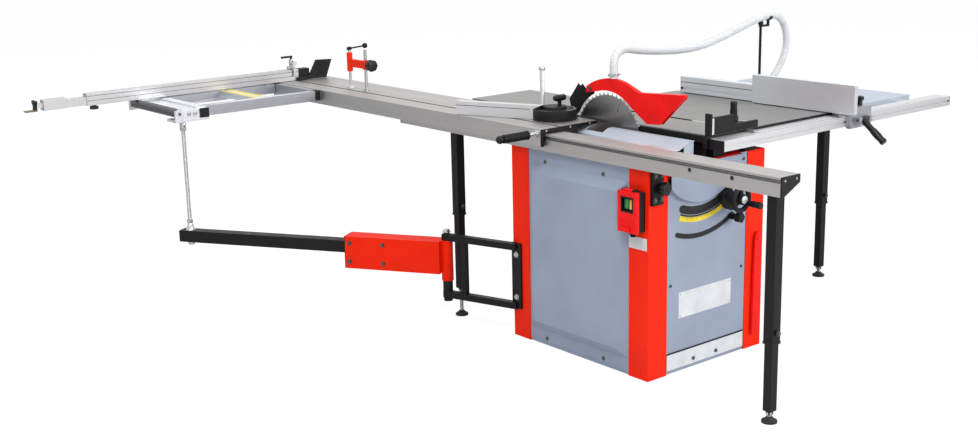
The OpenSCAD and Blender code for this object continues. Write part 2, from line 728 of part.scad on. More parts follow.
module swing_arm() color([0.86, 0.23, 0.1])
    difference() {
        union() {
            rod_z(barrel_z0, barrel_z1, pivot_x, pivot_y, 24);
            along_arm(swing_a) {
                difference() {
                    box(box_r0, box_r0 + box_l, -box_w / 2, box_w / 2, box_z0, box_z0 + box_h);
                    box(30, box_r0 + box_l + 1, 4 - box_w / 2, box_w / 2 - 4, box_z0 + 4, box_z0 + box_h - 4);
                }
                for (x = [box_r0 + box_l - 66, box_r0 + box_l - 24])
                    difference() {
                        box(x, x + 24, -box_w / 2 + 3, box_w / 2 - 3, box_z0 + 3, box_z0 + box_h - 3);
                        box(x - 1, x + 25, -tube_s / 2 - gap, tube_s / 2 + gap,
                            tube_z - tube_s / 2 - gap, tube_z + tube_s / 2 + gap);
                    }
            }
        }
        rod_z(barrel_z0 - 1, barrel_z1 + 1, pivot_x, pivot_y, pivot_d / 2 + fit);
    }
module swing_tube() color([0.07, 0.07, 0.08])
    along_arm(swing_a) {
        difference() {
            box(360, swing_l + 40, -tube_s / 2, tube_s / 2, tube_z - tube_s / 2, tube_z + tube_s / 2);
            box(359, swing_l - 40, -tube_s / 2 + 3, tube_s / 2 - 3, tube_z - tube_s / 2 + 3,
                tube_z + tube_s / 2 - 3);
        }
        rod_z(tube_z, carrier_z - 4, swing_l, 0, 8);
        translate([swing_l, 0, tube_z + tube_s / 2]) cylinder(h = 34, r1 = 20, r2 = 9);
        rod_z(tube_z - tube_s / 2 - 14, tube_z - tube_s / 2, swing_l, 0, 14);
        rod_z(carrier_z - 24, carrier_z - 4, swing_l, 0, 13);
    }

// Saw unit
module tilt_cradle() color([0.35, 0.36, 0.38]) {
    for (s = [-1, 1])
        prism_y(s > 0 ? quad_y0 : -quad_y1, s > 0 ? quad_y1 : -quad_y0)
            tilt_ring(120, quad_r, -78, -25);
    difference() {
        union() {
            prism_y(-quad_y0 - eps, -quad_y0 + 14) tilt_ring(120, quad_r - 6, -78, -25);
            prism_y(-quad_y0 + 1, -quad_y0 + 14)
                tilt_ring(quad_r - 10, lock_r + 25, crank_a - 6, crank_a + 6);
        }
        rod_y(-quad_y1 - 5, -quad_y0 + 20, wheel_x, wheel_z, 8 + fit);
        rod_y(-quad_y1 - 5, -quad_y0 + 20, lock_x, lock_z, 6 + fit);
    }
    box(108, 125, column_y[0] - 40, column_y[1] + 40, 795, 815);
    box(95, 125, -quad_y1 + 1, -30, 740, 772);
    box(95, 125, 230, quad_y1 - 1, 740, 772);
    for (y = column_y) {
        out = y > 100 ? 1 : -1;
        rod_z(560, 812, column_x, y, column_d / 2);
        box(column_x - 18, column_x + 18, y - 18, y + 18, 804, 816);
        box(column_x - 18, column_x + 18, y - 18, y + 18, 556, 574);
        y0 = y + (out > 0 ? 34 : -58);
        box(column_x + 40, 125, y0, y0 + 24, 560, 815);
        for (z = [560, 803]) {
            box(column_x - 10, 125, y0, y0 + 24, z, z + 12);
            box(column_x - 10, column_x + 10, min(y, y0 + 12), max(y, y0 + 12), z, z + 12);
        }
    }
}
knob_y0 = -in_y - 30;
module tilt_knob() color([0.08, 0.08, 0.09]) {
    rod_y(knob_y0, -quad_y0 + 14, lock_x, lock_z, 6);
    rod_y(-in_y - 14, -in_y - 4, lock_x, lock_z, 13);
    rod_y(knob_y0 - 24, knob_y0, lock_x, lock_z, 16);
    for (k = [0:4])
        translate([lock_x, 0, lock_z]) rotate([0, 72 * k, 0])
            rod_y(knob_y0 - 22, knob_y0 - 4, 14, 0, 6);
}
wheel_y1 = -in_y - 74;
module rise_wheel() color([0.1, 0.1, 0.11]) {
    rod_y(wheel_y1 - 22, -quad_y0 + 14, wheel_x, wheel_z, 8);
    rod_y(wheel_y1 - 26, wheel_y1 + 2, wheel_x, wheel_z, 20);
    rod_y(wheel_y1 + 1, -in_y - 20, wheel_x, wheel_z, 24);
    translate([wheel_x, wheel_y1 - 12, wheel_z]) rotate([90, 0, 0])
        rotate_extrude() translate([wheel_d / 2 - 9, 0]) circle(r = 9);
    for (a = [30, 150, 270])
        translate([wheel_x, wheel_y1 - 12, wheel_z]) rotate([0, a, 0])
            translate([14, -4, -7]) cube([wheel_d / 2 - 22, 8, 14]);
    translate([wheel_x, 0, wheel_z]) rotate([0, 30, 0])
        rod_y(wheel_y1 - 74, wheel_y1 - 10, wheel_d / 2 - 9, 0, 8);
}
module arbor_block() color([0.4, 0.41, 0.43])
    difference() {
        union() {
            rod_x(-25, 65, blade_y, arbor_z, 38);
            for (y = column_y)
                rod_z(arbor_z - 43, arbor_z + 17, column_x, y, 24);
            box(column_x - 14, column_x + 14, column_y[0] + 10, column_y[1] - 10, arbor_z - 38, arbor_z + 12);
            for (y = [blade_y - 92, blade_y + 72])
                box(column_x - 10, mount_x1, y, y + 20, motor_z + 60, arbor_z - 30);
            difference() {
                box(mount_x0, mount_x1, blade_y - 92, blade_y + 92, motor_z - 70, motor_z + 82);
                rod_x(mount_x0 - 1, mount_x1 + 1, blade_y, motor_z, 24);
            }
            box(blade_x + kerf / 2 - 0.35, column_x + 10, blade_y + blade_r + 3, blade_y + blade_r + 21,
                arbor_z - 41, arbor_z - 8);
            box(column_x - 10, column_x + 10, column_y[1], blade_y + blade_r + 21, arbor_z - 41, arbor_z - 8);
        }
        rod_x(-26, 66, blade_y, arbor_z, arbor_d / 2 + fit);
        for (y = column_y)
            rod_z(arbor_z - 60, arbor_z + 30, column_x, y, column_d / 2 + fit);
    }
module motor() color([0.16, 0.2, 0.26])
    difference() {
        union() {
            rod_x(mount_x1, mount_x1 + motor_l, blade_y, motor_z, motor_d / 2 - 5);
            for (k = [0:6])
                rod_x(mount_x1 + 12 + 20 * k, mount_x1 + 22 + 20 * k, blade_y, motor_z, motor_d / 2);
            box(mount_x1 + 40, mount_x1 + 110, blade_y - motor_d / 2 - 35, blade_y - motor_d / 2 + 20,
                motor_z - 30, motor_z + 30);
        }
        rod_x(mount_x1 - 1, mount_x1 + 60, blade_y, motor_z, 12 + fit);
    }
module motor_pulley() color([0.5, 0.51, 0.52]) {
    rod_x(pulley_x0, pulley_x1, blade_y, motor_z, pulley_d / 2);
    rod_x(pulley_x1 - 1, mount_x1 + 59, blade_y, motor_z, 12);
}
module belt_outline(r) {
    for (z = [arbor_z, motor_z])
        translate([blade_y, z]) circle(r = r);
    rect(blade_y - r, blade_y + r, motor_z, arbor_z);
}
module drive_belt() color([0.06, 0.06, 0.06])
    prism_x(pulley_x0 + 3, pulley_x1 - 3) difference() {
        belt_outline(pulley_d / 2 + 5);
        belt_outline(pulley_d / 2 + gap);
    }
hub_x = blade_x + kerf / 2;
module arbor_shaft() color([0.62, 0.63, 0.65]) {
    rod_x(blade_x - 29, pulley_x1 + 2, blade_y, arbor_z, arbor_d / 2 - 2);
    rod_x(hub_x, 66, blade_y, arbor_z, arbor_d / 2);
    rod_x(hub_x, -25.5, blade_y, arbor_z, flange_d / 2);
    rod_x(pulley_x0, pulley_x1, blade_y, arbor_z, pulley_d / 2);
}
gullet = 9;
module tooth_outline() {
    polygon([[-3, blade_r - gullet - 1], [5.5, blade_r - gullet - 1], [4.5, blade_r - 3.5],
        [3.5, blade_r], [0, blade_r - 0.8]]);
}
module blade() color([0.72, 0.73, 0.75])
    translate([0, blade_y, arbor_z])
        difference() {
            union() {
                prism_x(blade_x - blade_t / 2, blade_x + blade_t / 2) {
                    circle(r = blade_r - gullet);
                    for (k = [0:teeth - 1])
                        rotate(360 * k / teeth) tooth_outline();
                }
                rod_x(blade_x - kerf / 2, blade_x + kerf / 2, 0, 0, flange_d / 2 + 6);
            }
            rod_x(blade_x - 5, blade_x + 5, 0, 0, arbor_d / 2 - 2 + fit);
        }
module blade_flange() color([0.3, 0.31, 0.33])
    difference() {
        union() {
            rod_x(blade_x - kerf / 2 - 10, blade_x - kerf / 2, blade_y, arbor_z, flange_d / 2);
            translate([blade_x - kerf / 2 - 25, blade_y, arbor_z]) rotate([0, 90, 0])
                cylinder(h = 16, r = 20, $fn = 6);
        }
        rod_x(blade_x - 60, blade_x, blade_y, arbor_z, arbor_d / 2 - 2 + fit);
    }
knife_t = 2.5;
guard_w = 20;
guard_r = 236;
spigot_y = 72;
guard_pin = [blade_y + 88, arbor_z + 182];
module riving_knife() color([0.1, 0.1, 0.11]) {
    prism_x(blade_x - knife_t / 2, blade_x + knife_t / 2) translate([blade_y, arbor_z]) difference() {
        polygon([[178, -41], [196, -41], [196, 72], [214, 130], [163, 195], [152, 186], [140, 195],
            [114, 172], [104, 184], [76, 187], [76, 150], [178, 70]]);
        circle(r = blade_r + 5);
    }
    rod_x(blade_x - guard_w / 2, blade_x + guard_w / 2, guard_pin[0], guard_pin[1], 4);
}
// The band over the blade and the fin in front of it, about the arbor
module guard_outline() {
    translate([blade_y, arbor_z]) difference() {
        union() {
            intersection() {
                translate([-22, -6]) circle(r = guard_r);
                polygon([[-110, 120], [-110, 240], [111, 240], [111, 166], [40, 178]]);
            }
            polygon([[-95, 218], [-165, 191], [-387, 204], [-389, 194], [-273, 85], [-208, 80], [-83, 160]]);
        }
        circle(r = blade_r + 8);
    }
}
module blade_guard() color([0.86, 0.1, 0.08])
    difference() {
        union() {
            prism_x(blade_x - guard_w / 2, blade_x + guard_w / 2) guard_outline();
            rod_z(arbor_z + 205, 1046, blade_x, spigot_y, hose_bore / 2 - 0.5);
        }
        box(blade_x - guard_w / 2 + 3, blade_x + guard_w / 2 - 3, blade_y - 330, blade_y - 150,
            arbor_z + 60, arbor_z + 186);
        rod_z(arbor_z + 150, 1047, blade_x, spigot_y, hose_bore / 2 - 8);
        box(blade_x - knife_t / 2 - 0.2, blade_x + knife_t / 2 + 0.2, blade_y + 60, blade_y + 240,
            arbor_z + 60, arbor_z + 190);
        rod_x(blade_x - guard_w, blade_x + guard_w, guard_pin[0], guard_pin[1], 4 + fit);
    }

// Rip fence
carrier_z0 = rail_z0 - 6;
lever_py = rail_y0 - 34;
lever_pz = carrier_z0 + 31;
module rip_carrier() color([0.6, 0.61, 0.62])
    difference() {
        union() {
            box(carrier_x0, carrier_x1, rail_y0 - 20, rail_y1 + 20, carrier_z0, rip_z0 + 20);
            for (x = [carrier_x0 + 55, carrier_x0 + 95])
                rod_z(rip_z0 + 19, rip_z0 + 40, x, rail_y0 + 10, 11);
            for (x = [carrier_x0 + 25, carrier_x1 - 41])
                box(x, x + 16, lever_py - 10, rail_y0 - 19, lever_pz - 12, lever_pz + 12);
        }
        box(carrier_x0 - 1, carrier_x1 + 1, rail_y0 - gap, rail_y1 + 30, carrier_z0 - 1, rail_z1 + gap);
        box(carrier_x0 - 1, carrier_x1 + 1, rail_y1 - 6, rail_y1 + 30, carrier_z0 - 1, table_z + 2);
        box(profile_x0 - gap, profile_x1 + gap, rail_y0 - 50, rail_y1 + 60, rip_z0 - 1, rip_z0 + 60);
        rod_x(carrier_x0 - 1, carrier_x1 + 1, lever_py, lever_pz, 5 + fit);
    }
module rip_lever() color([0.07, 0.07, 0.08]) {
    x = (carrier_x0 + carrier_x1) / 2 - 8;
    rod_x(carrier_x0 + 22, carrier_x1 - 22, lever_py, lever_pz, 5);
    translate([x, lever_py, lever_pz]) rotate([38, 0, 0]) {
        box(-11, 11, -60, 8, -7, 7);
        rod_y(-122, -58, 0, 0, 12);
    }
}
module rip_profile() color([0.74, 0.75, 0.76])
    difference() {
        box(profile_x0, profile_x1, profile_y0, profile_y1, rip_z0, rip_z0 + profile_h);
        box(profile_x0 + 4, profile_x1 - 4, profile_y0 - 1, profile_y1 + 1, rip_z0 + 36,
            rip_z0 + profile_h - 4);
        box(profile_x0 + 14, profile_x1 - 4, profile_y0 - 1, profile_y1 + 1, rip_z0 + 4, rip_z0 + 30);
        box(profile_x0 - 1, profile_x0 + 5, profile_y0 - 1, profile_y1 + 1, rip_z0 + 12, rip_z0 + 22);
        box(profile_x0 + 4, profile_x0 + 9, profile_y0 - 1, profile_y1 + 1, rip_z0 + 8, rip_z0 + 26);
    }
plate_y0 = -498;
module rip_plate() color([0.74, 0.75, 0.76])
    difference() {
        union() {
            box(rip_x, profile_x0 - gap, plate_y0, plate_y0 + plate_l, rip_z0, rip_z0 + plate_h);
            for (y = [-340, -80])
                box(profile_x0 - 1, profile_x0 + 8, y, y + 30, rip_z0 + 12.5, rip_z0 + 21.5);
        }
        for (z = [30, 66])
            box(rip_x + 4, profile_x0 - gap - 4, plate_y0 - 1, plate_y0 + plate_l + 1, rip_z0 + z,
                rip_z0 + z + 30);
    }

// Sliding carriage
module carriage_outline() {
    difference() {
        union() {
            rect(car_x0, car_x0 + car_box_w, car_z0, table_z);
            rect(car_x0, car_x1, table_z - lip_h, table_z);
            rect(car_x0, car_x0 + skirt_t, table_z - skirt_h, table_z);
        }
        rect(car_x0 + skirt_t, beam_x1 + 4, car_z0 - 1, car_roof_z);
        rect(beam_x1 + 12, car_x0 + car_box_w - 6, car_z0 + 5, table_z - 6);
        rect(car_x0 + 88, car_x0 + 100, car_roof_z + 4, table_z + 1);
        rect(car_x0 + 82, car_x0 + 106, car_roof_z + 4, car_roof_z + 10);
    }
}
module carriage() color([0.6, 0.6, 0.6]) {
    prism_y(car_y0, car_y1) carriage_outline();
    for (x = [beam_x0 + 8, beam_x1 - 28])
        box(x, x + 20, car_y0 + 30, car_y0 + 870, beam_z1 + runner_gap, car_roof_z + eps);
}
handle_z = table_z - 17;
module push_handle() color([0.07, 0.07, 0.08]) {
    y = car_y0 + 18;
    rod_x(car_x0 - 50, car_x0, y, handle_z, 8);
    rod_x(car_x0 - 14, car_x0, y, handle_z, 14);
    rod_x(car_x0 - 166, car_x0 - 46, y, handle_z, 14);
    for (k = [0:7])
        rod_x(car_x0 - 160 + 14 * k, car_x0 - 153 + 14 * k, y, handle_z, 16);
    translate([car_x0 - 178, y, handle_z]) sphere(r = 15);
}
module outrigger() color([0.72, 0.73, 0.74]) {
    box(arm_x1 - 27, arm_x1, arm_y0, arm_y1, arm_z0, arm_z1);
    box(arm_x0 - 40, arm_x0, arm_y0, arm_y1, arm_z0, arm_z1);
    for (y = [arm_y0, arm_y1 - 40])
        difference() {
            box(arm_x0 - 1, arm_x1 - 26, y, y + 40, arm_z0, arm_z1);
            box(arm_x0 + 2, arm_x1 - 30, y + 3, y + 37, arm_z0 + 3, arm_z1 - 3);
        }
    box(arm_x0 + 261, arm_x0 + 321, arm_y0 + 39, arm_y1 - 39, arm_z1 - 26, arm_z1);
    box(roller_x + 30, arm_x0 - 39, arm_y0 - 17, arm_y1 + 17, arm_z1 - 30, arm_z1 - 6);
    for (y = [arm_y0 - 28, arm_y1 + 16])
        difference() {
            box(roller_x - 18, arm_x0 - 1, y, y + 12, arm_z0, arm_z1 - 4);
            rod_y(y - 1, y + 13, roller_x, roller_z, 6 + fit);
        }
    box(arm_x0 - 40, arm_x0 - 1, arm_y0 - 28, arm_y0 + 1, arm_z0, arm_z1 - 4);
    box(roller_x - 20, arm_x0 + 3, arm_y0 - 30, arm_y0 + 50, carrier_z, arm_z0 + 1);
    box(arm_x0 - 40, arm_x0 - 1, arm_y1 - 1, arm_y1 + 28, arm_z0, arm_z1 - 4);
}
module outrigger_roller() color([0.2, 0.2, 0.21]) {
    rod_y(arm_y0 - 14, arm_y1 + 14, roller_x, roller_z, roller_d / 2);
    rod_y(arm_y0 - 34, arm_y1 + 34, roller_x, roller_z, 6);
}
cross_cy = cross_y0 + cross_w / 2;
cross_pivot_x = arm_x1 - 60;
module crosscut_fence() color([0.76, 0.77, 0.78])
    difference() {
        union() {
            box(cross_x0, cross_x1, cross_y0, cross_y0 + cross_w, cross_z0, cross_z0 + cross_h);
            rod_z(arm_z1 + gap, cross_z0 + 1, cross_pivot_x, cross_cy, 18);
        }
        box(cross_x0 - 1, cross_x1 + 1, cross_y0 + cross_wall, cross_y0 + cross_w - cross_wall,
            cross_z0 + cross_wall, cross_z0 + cross_h - 14);
        box(cross_x0 - 1, cross_x1 + 1, cross_cy - 6, cross_cy + 6, cross_z0 + cross_h - 10,
            cross_z0 + cross_h + 1);
    }
shoe_l = blade_x - guard_w / 2 - 5 - cross_x1;
module fence_shoe() color([0.06, 0.06, 0.07]) {
    prism_y(cross_y0 - 12, cross_y0) translate([cross_x1, cross_z0])
        polygon([[-13, 0], [shoe_l - 34, 0], [shoe_l, 84], [96, 88], [56, 20], [-13, 14]]);
    box(cross_x1, cross_x1 + 60, cross_y0 - 1, cross_y0 + cross_w, cross_z0, cross_z0 + cross_h);
}
tele_l = 420;
module crosscut_extension() color([0.8, 0.81, 0.82]) {
    y0 = cross_y0 + cross_wall + gap;
    y1 = cross_y0 + cross_w - cross_wall - gap;
    box(cross_x0 - 90, cross_x0 - 90 + tele_l, y0, y1, cross_z0 + cross_wall + gap,
        cross_z0 + cross_h - 14 - gap);
    box(cross_x0 - 190, cross_x0 - 89, cross_y0, cross_y0 + cross_w, cross_z0 + 2, cross_z0 + 46);
    box(cross_x0 - 216, cross_x0 - 190, cross_y0 + 8, cross_y0 + 30, cross_z0 + 14, cross_z0 + 34);
    prism_x(cross_x0 - 228, cross_x0 - 216) translate([cross_y0 + 18, cross_z0 + 24])
        polygon([[-14, 24], [0, 9], [14, 24], [20, 17], [8, 0], [14, -22], [-14, -22], [-8, 0], [-20, 17]]);
    box(cross_x0 - 266, cross_x0 - 217, cross_y0 + 2, cross_y0 + 34, cross_z0 + 2, cross_z0 + 7);
}
stop_x = -268;
module flip_stop() color([0.7, 0.71, 0.72]) {
    z = cross_z0 + cross_h + sqrt(9 * 9 - 6 * 6) + gap;
    rod_x(stop_x - 20, stop_x + 20, cross_cy, z, 9);
    box(stop_x - 6, stop_x + 6, cross_y0 - 12, cross_cy, z - 5, z + 5);
    box(stop_x - 6, stop_x + 6, cross_y0 - 12, cross_y0 - 4, cross_z0 + 24, z + 5);
    box(stop_x - 8, stop_x + 8, cross_cy - 6, cross_cy + 6, z, z + 40);
    rod_y(cross_cy - 34, cross_cy - 5, stop_x, z + 24, 11);
    rod_z(z + 39, z + 50, stop_x, cross_cy, 5);
    rod_x(stop_x - 52, stop_x + 7, cross_cy, z + 53, 5);
}

// Workpiece clamp on the carriage
arm_clamp_z = 965;
clamp_rod_r = 7;
plunger_r = 6;
lever_reach = clamp_reach / sin(80);
module clamp_post() color([0.62, 0.63, 0.65]) {
    rod_z(table_z, table_z + 8, clamp_x, clamp_y, 13);
    rod_z(table_z, 1034, clamp_x, clamp_y, clamp_rod_r);
}
module clamp_arm() color([0.86, 0.1, 0.08])
    difference() {
        union() {
            rod_z(arm_clamp_z - 18, arm_clamp_z + 22, clamp_x, clamp_y, 14);
            box(clamp_x - 9, clamp_x + 9, clamp_y + 5, clamp_y + clamp_reach, arm_clamp_z - 15,
                arm_clamp_z + 19);
            rod_z(arm_clamp_z - 36, arm_clamp_z + 48, clamp_x, clamp_y + clamp_reach, 13);
            rod_y(clamp_y - 32, clamp_y - 12, clamp_x, arm_clamp_z + 2, 6);
            rod_y(clamp_y - 58, clamp_y - 30, clamp_x, arm_clamp_z + 2, 24);
        }
        rod_z(arm_clamp_z - 40, arm_clamp_z + 50, clamp_x, clamp_y, clamp_rod_r + fit);
        rod_z(arm_clamp_z - 60, arm_clamp_z + 80, clamp_x, clamp_y + clamp_reach, plunger_r + fit);
    }
module clamp_plunger() color([0.15, 0.15, 0.16]) {
    y = clamp_y + clamp_reach;
    rod_z(table_z + 12, arm_clamp_z + 70, clamp_x, y, plunger_r);
    rod_z(table_z + 1, table_z + 13, clamp_x, y, 16);
    rod_x(clamp_x - 9, clamp_x + 9, y, arm_clamp_z + 66, 8);
    translate([clamp_x, y, arm_clamp_z + 66]) rotate([80, 0, 0]) {
        rod_z(0, lever_reach, 0, 0, 3.5);
        translate([0, 0, lever_reach]) sphere(r = 12);
    }
}

// Small miter fence on the carriage
module miter_fence() color([0.12, 0.12, 0.13])
    translate([miter_x, miter_y, table_z + gap]) {
        rod_z(0, 40, 0, 0, 84);
        rod_z(39, 50, 0, 0, 45);
        rod_z(39, 190, -20, 48, 8);
        rod_z(49, 76, 18, -8, 8);
        rod_x(-8, 44, -8, 80, 9);
        rotate([0, 0, miter_a]) difference() {
            box(40, 410, 14, 46, 1, 54);
            box(80, 411, 18, 42, 20, 50);
            box(80, 411, 12, 16, 8, 16);
        }
    }

// Miter gauge on the main table
module gauge_bar() color([0.6, 0.61, 0.63])
    difference() {
        box(gauge_x - slot_w / 2 + gap, gauge_x + slot_w / 2 - gap, table_y0 - 42, table_y0 + 258,
            table_z - slot_h + gap, table_z - 0.2);
        rod_z(table_z - 20, table_z + 5, gauge_x, gauge_y, 4);
    }
module gauge_head() color([0.08, 0.08, 0.09])
    translate([gauge_x, gauge_y, table_z + gap]) {
        intersection() {
            rod_z(0, 12, 0, 0, 72);
            box(-80, 80, -34, 80, 0, 20);
        }
        box(-206, -60, -44, -33, 0, 60);
        box(-61, 70, -44, -33, 0, 24);
        box(-206, -196, -60, -33, 0, 78);
        rod_z(11, 92, 0, 12, 12);
        rod_z(11, 40, 0, 12, 17);
        rod_z(-6, 1, 0, 0, 4 - fit);
    }

cabinet_frame();
left_panel();
front_panel();
rear_panel();
right_panel();
base_tray();
main_table();
table_insert();
cover_strip();
rear_extension();
right_extension();
rip_rail();
beam_rail();
beam_caps();
beam_brackets();
leg_sleeves();
switch_box();
hose_post();
hose();
dust_port();
push_stick();
swing_bracket();
leg_front();
leg_left();
leg_right();
switch_cover();
start_button();
stop_button();
tilt_cradle();
tilt_knob();
rise_wheel();
arbor_block();
motor();
riving_knife();
blade_guard();
arbor_shaft();
blade();
blade_flange();
motor_pulley();
drive_belt();
rip_carrier();
rip_lever();
rip_profile();
rip_plate();
carriage();
push_handle();
outrigger();
outrigger_roller();
crosscut_fence();
fence_shoe();
crosscut_extension();
flip_stop();
clamp_post();
clamp_arm();
clamp_plunger();
miter_fence();
gauge_bar();
gauge_head();
swing_arm();
swing_tube();
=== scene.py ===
"""Looks of a sliding table saw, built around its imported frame.

Metres, +Z up, +Y along the feed away from the operator, +X to the operator's right.
"""
import math

import bmesh
import bpy
from mathutils import Matrix, Vector


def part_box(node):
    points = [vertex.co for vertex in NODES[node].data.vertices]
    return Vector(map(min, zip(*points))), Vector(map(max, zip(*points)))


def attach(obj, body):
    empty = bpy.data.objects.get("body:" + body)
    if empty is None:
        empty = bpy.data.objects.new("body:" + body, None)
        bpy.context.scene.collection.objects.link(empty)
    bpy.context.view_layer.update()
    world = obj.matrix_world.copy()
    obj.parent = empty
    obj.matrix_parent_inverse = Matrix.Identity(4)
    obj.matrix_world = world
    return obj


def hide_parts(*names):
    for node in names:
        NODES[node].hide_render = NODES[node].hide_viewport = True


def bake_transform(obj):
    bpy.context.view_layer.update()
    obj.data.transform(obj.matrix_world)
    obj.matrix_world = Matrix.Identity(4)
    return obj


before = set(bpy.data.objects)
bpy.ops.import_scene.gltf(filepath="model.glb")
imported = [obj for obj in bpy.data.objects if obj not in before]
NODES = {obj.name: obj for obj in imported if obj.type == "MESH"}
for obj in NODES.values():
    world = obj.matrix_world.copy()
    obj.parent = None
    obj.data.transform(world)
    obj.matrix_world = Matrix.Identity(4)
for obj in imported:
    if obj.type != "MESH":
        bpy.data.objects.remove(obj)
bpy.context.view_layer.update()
LOW = {name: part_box(name)[0] for name in NODES}
HIGH = {name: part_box(name)[1] for name in NODES}
MM = 0.001
X, Y, Z = Vector((1, 0, 0)), Vector((0, 1, 0)), Vector((0, 0, 1))
scene = bpy.context.scene


def mm(x, y, z):
    return Vector((x, y, z)) * MM


# Camera, fitted to the photograph
IMAGE_W, IMAGE_H = 978, 438
FOCAL_PX = 1330.5
CENTRE_PX = (466.6, 215.8)
CAMERA_AT = mm(-3543.4, -3451.6, 1704.5)
AZIMUTH, ELEVATION, ROLL = math.radians(-38.3), math.radians(13.7), math.radians(-1.5)


def make_camera():
    data = bpy.data.cameras.new("camera")
    data.sensor_fit = "HORIZONTAL"
    data.sensor_width = 36
    data.lens = FOCAL_PX * data.sensor_width / IMAGE_W
    data.shift_x = (IMAGE_W / 2 - CENTRE_PX[0]) / IMAGE_W
    data.shift_y = (CENTRE_PX[1] - IMAGE_H / 2) / IMAGE_W
    data.clip_end = 100
    camera = bpy.data.objects.new("camera", data)
    scene.collection.objects.link(camera)
    level = math.cos(ELEVATION)
    ahead = Vector((-math.sin(AZIMUTH) * level, math.cos(AZIMUTH) * level, -math.sin(ELEVATION)))
    side = Vector((math.cos(AZIMUTH), math.sin(AZIMUTH), 0))
    above = side.cross(ahead)
    right = math.cos(ROLL) * side + math.sin(ROLL) * above
    up = math.cos(ROLL) * above - math.sin(ROLL) * side
    turn = Matrix((right, up, -ahead)).transposed().to_4x4()
    camera.matrix_world = Matrix.Translation(CAMERA_AT) @ turn
    scene.camera = camera


make_camera()


# Shader helpers
class Shader:
    """One node material around a Principled shader."""

    def __init__(self, name, **values):
        self.material = bpy.data.materials.new(name)
        self.material.use_nodes = True
        self.tree = self.material.node_tree
        self.surface = self.tree.nodes["Principled BSDF"]
        for socket, value in values.items():
            self.surface.inputs[socket.replace("_", " ")].default_value = value
        self.place = self.node("ShaderNodeTexCoord").outputs["Object"]

    def node(self, kind, **values):
        made = self.tree.nodes.new(kind)
        for key, value in values.items():
            setattr(made, key, value)
        return made

    def link(self, source, target):
        self.tree.links.new(source, target)

    def noise(self, scale, detail=3.0, roughness=0.55, stretch=None):
        place = self.place
        if stretch is not None:
            mapping = self.node("ShaderNodeMapping")
            mapping.inputs["Scale"].default_value = stretch
            self.link(place, mapping.inputs["Vector"])
            place = mapping.outputs["Vector"]
        made = self.node("ShaderNodeTexNoise")
        made.inputs["Scale"].default_value = scale
        made.inputs["Detail"].default_value = detail
        made.inputs["Roughness"].default_value = roughness
        self.link(place, made.inputs["Vector"])
        return made.outputs["Fac"]

    def remap(self, value, low, high, from_low=0.3, from_high=0.7):
        made = self.node("ShaderNodeMapRange")
        for socket, number in zip(made.inputs[1:5], (from_low, from_high, low, high)):
            socket.default_value = number
        self.link(value, made.inputs[0])
        return made.outputs[0]

    def math(self, operation, a, b):
        made = self.node("ShaderNodeMath", operation=operation)
        for socket, value in zip(made.inputs, (a, b)):
            if isinstance(value, (int, float)):
                socket.default_value = value
            else:
                self.link(value, socket)
        return made.outputs[0]

    def blend(self, share, a, b):
        made = self.node("ShaderNodeMix", data_type="RGBA")
        if isinstance(share, (int, float)):
            made.inputs["Factor"].default_value = share
        else:
            self.link(share, made.inputs["Factor"])
        for socket, value in ((made.inputs[6], a), (made.inputs[7], b)):
            if isinstance(value, tuple):
                socket.default_value = (*value[:3], 1)
            else:
                self.link(value, socket)
        return made.outputs[2]

    def colour(self, value):
        self.link(value, self.surface.inputs["Base Color"])

    def rough(self, value):
        self.link(value, self.surface.inputs["Roughness"])

    def bump(self, height, strength, depth):
        made = self.node("ShaderNodeBump")
        made.inputs["Strength"].default_value = strength
        made.inputs["Distance"].default_value = depth
        self.link(height, made.inputs["Height"])
        self.link(made.outputs["Normal"], self.surface.inputs["Normal"])

    def edges(self, radius):
        """A mask that is 1 on sharp outer edges."""
        rounded = self.node("ShaderNodeBevel", samples=4)
        rounded.inputs["Radius"].default_value = radius
        flat = self.node("ShaderNodeNewGeometry")
        likeness = self.node("ShaderNodeVectorMath", operation="DOT_PRODUCT")
        self.link(rounded.outputs["Normal"], likeness.inputs[0])
        self.link(flat.outputs["Normal"], likeness.inputs[1])
        return self.remap(likeness.outputs["Value"], 1, 0, 0.72, 0.97)


def tint(colour, share):
    return tuple(min(1.0, c * share) for c in colour)


def paint(name, colour, roughness, peel=0.12, wear_and_edge_light=0.35, coat=0.3, shine=0.5):
    """Sprayed paint: orange peel, faint clouding, and edges lightened partly as rubbed wear and partly as a
    painted edge highlight.
    """
    made = Shader(name, Coat_Weight=coat, Coat_Roughness=0.18, Specular_IOR_Level=shine)
    clouds = made.remap(made.noise(5.0, 4.0), 0, 1)
    ground = made.blend(clouds, tint(colour, 0.92), tint(colour, 1.05))
    # Paler sharp edges: partly rubbed wear, partly a painted highlight along the edges.
    rubbed_and_highlit = made.math("MULTIPLY", made.edges(0.0018), made.remap(made.noise(45.0, 5.0), 0, wear_and_edge_light))
    made.colour(made.blend(rubbed_and_highlit, ground, tuple(0.55 * c + 0.3 for c in colour)))
    made.rough(made.remap(made.noise(30.0, 5.0), roughness - 0.05, roughness + 0.09))
    made.bump(made.noise(650.0, 2.0), peel, 0.0006)
    return made.material


def metal(name, colour, roughness, stretch, grain=0.25, stain=0.12):
    """Bare metal with its lines of machining along the axis that isn't stretched."""
    made = Shader(name, Metallic=1.0)
    lines = made.noise(1.0, 4.0, 0.65, stretch)
    stains = made.remap(made.noise(4.5, 5.0, 0.6), 0, 1)
    streaks = made.blend(made.remap(lines, 0, 1), tint(colour, 1 - grain), tint(colour, 1 + grain / 2))
    made.colour(made.blend(made.math("MULTIPLY", stains, stain), streaks, tint(colour, 0.55)))
    made.rough(made.remap(lines, roughness - 0.08, roughness + 0.1))
    made.bump(lines, 0.12, 0.0004)
    return made.material


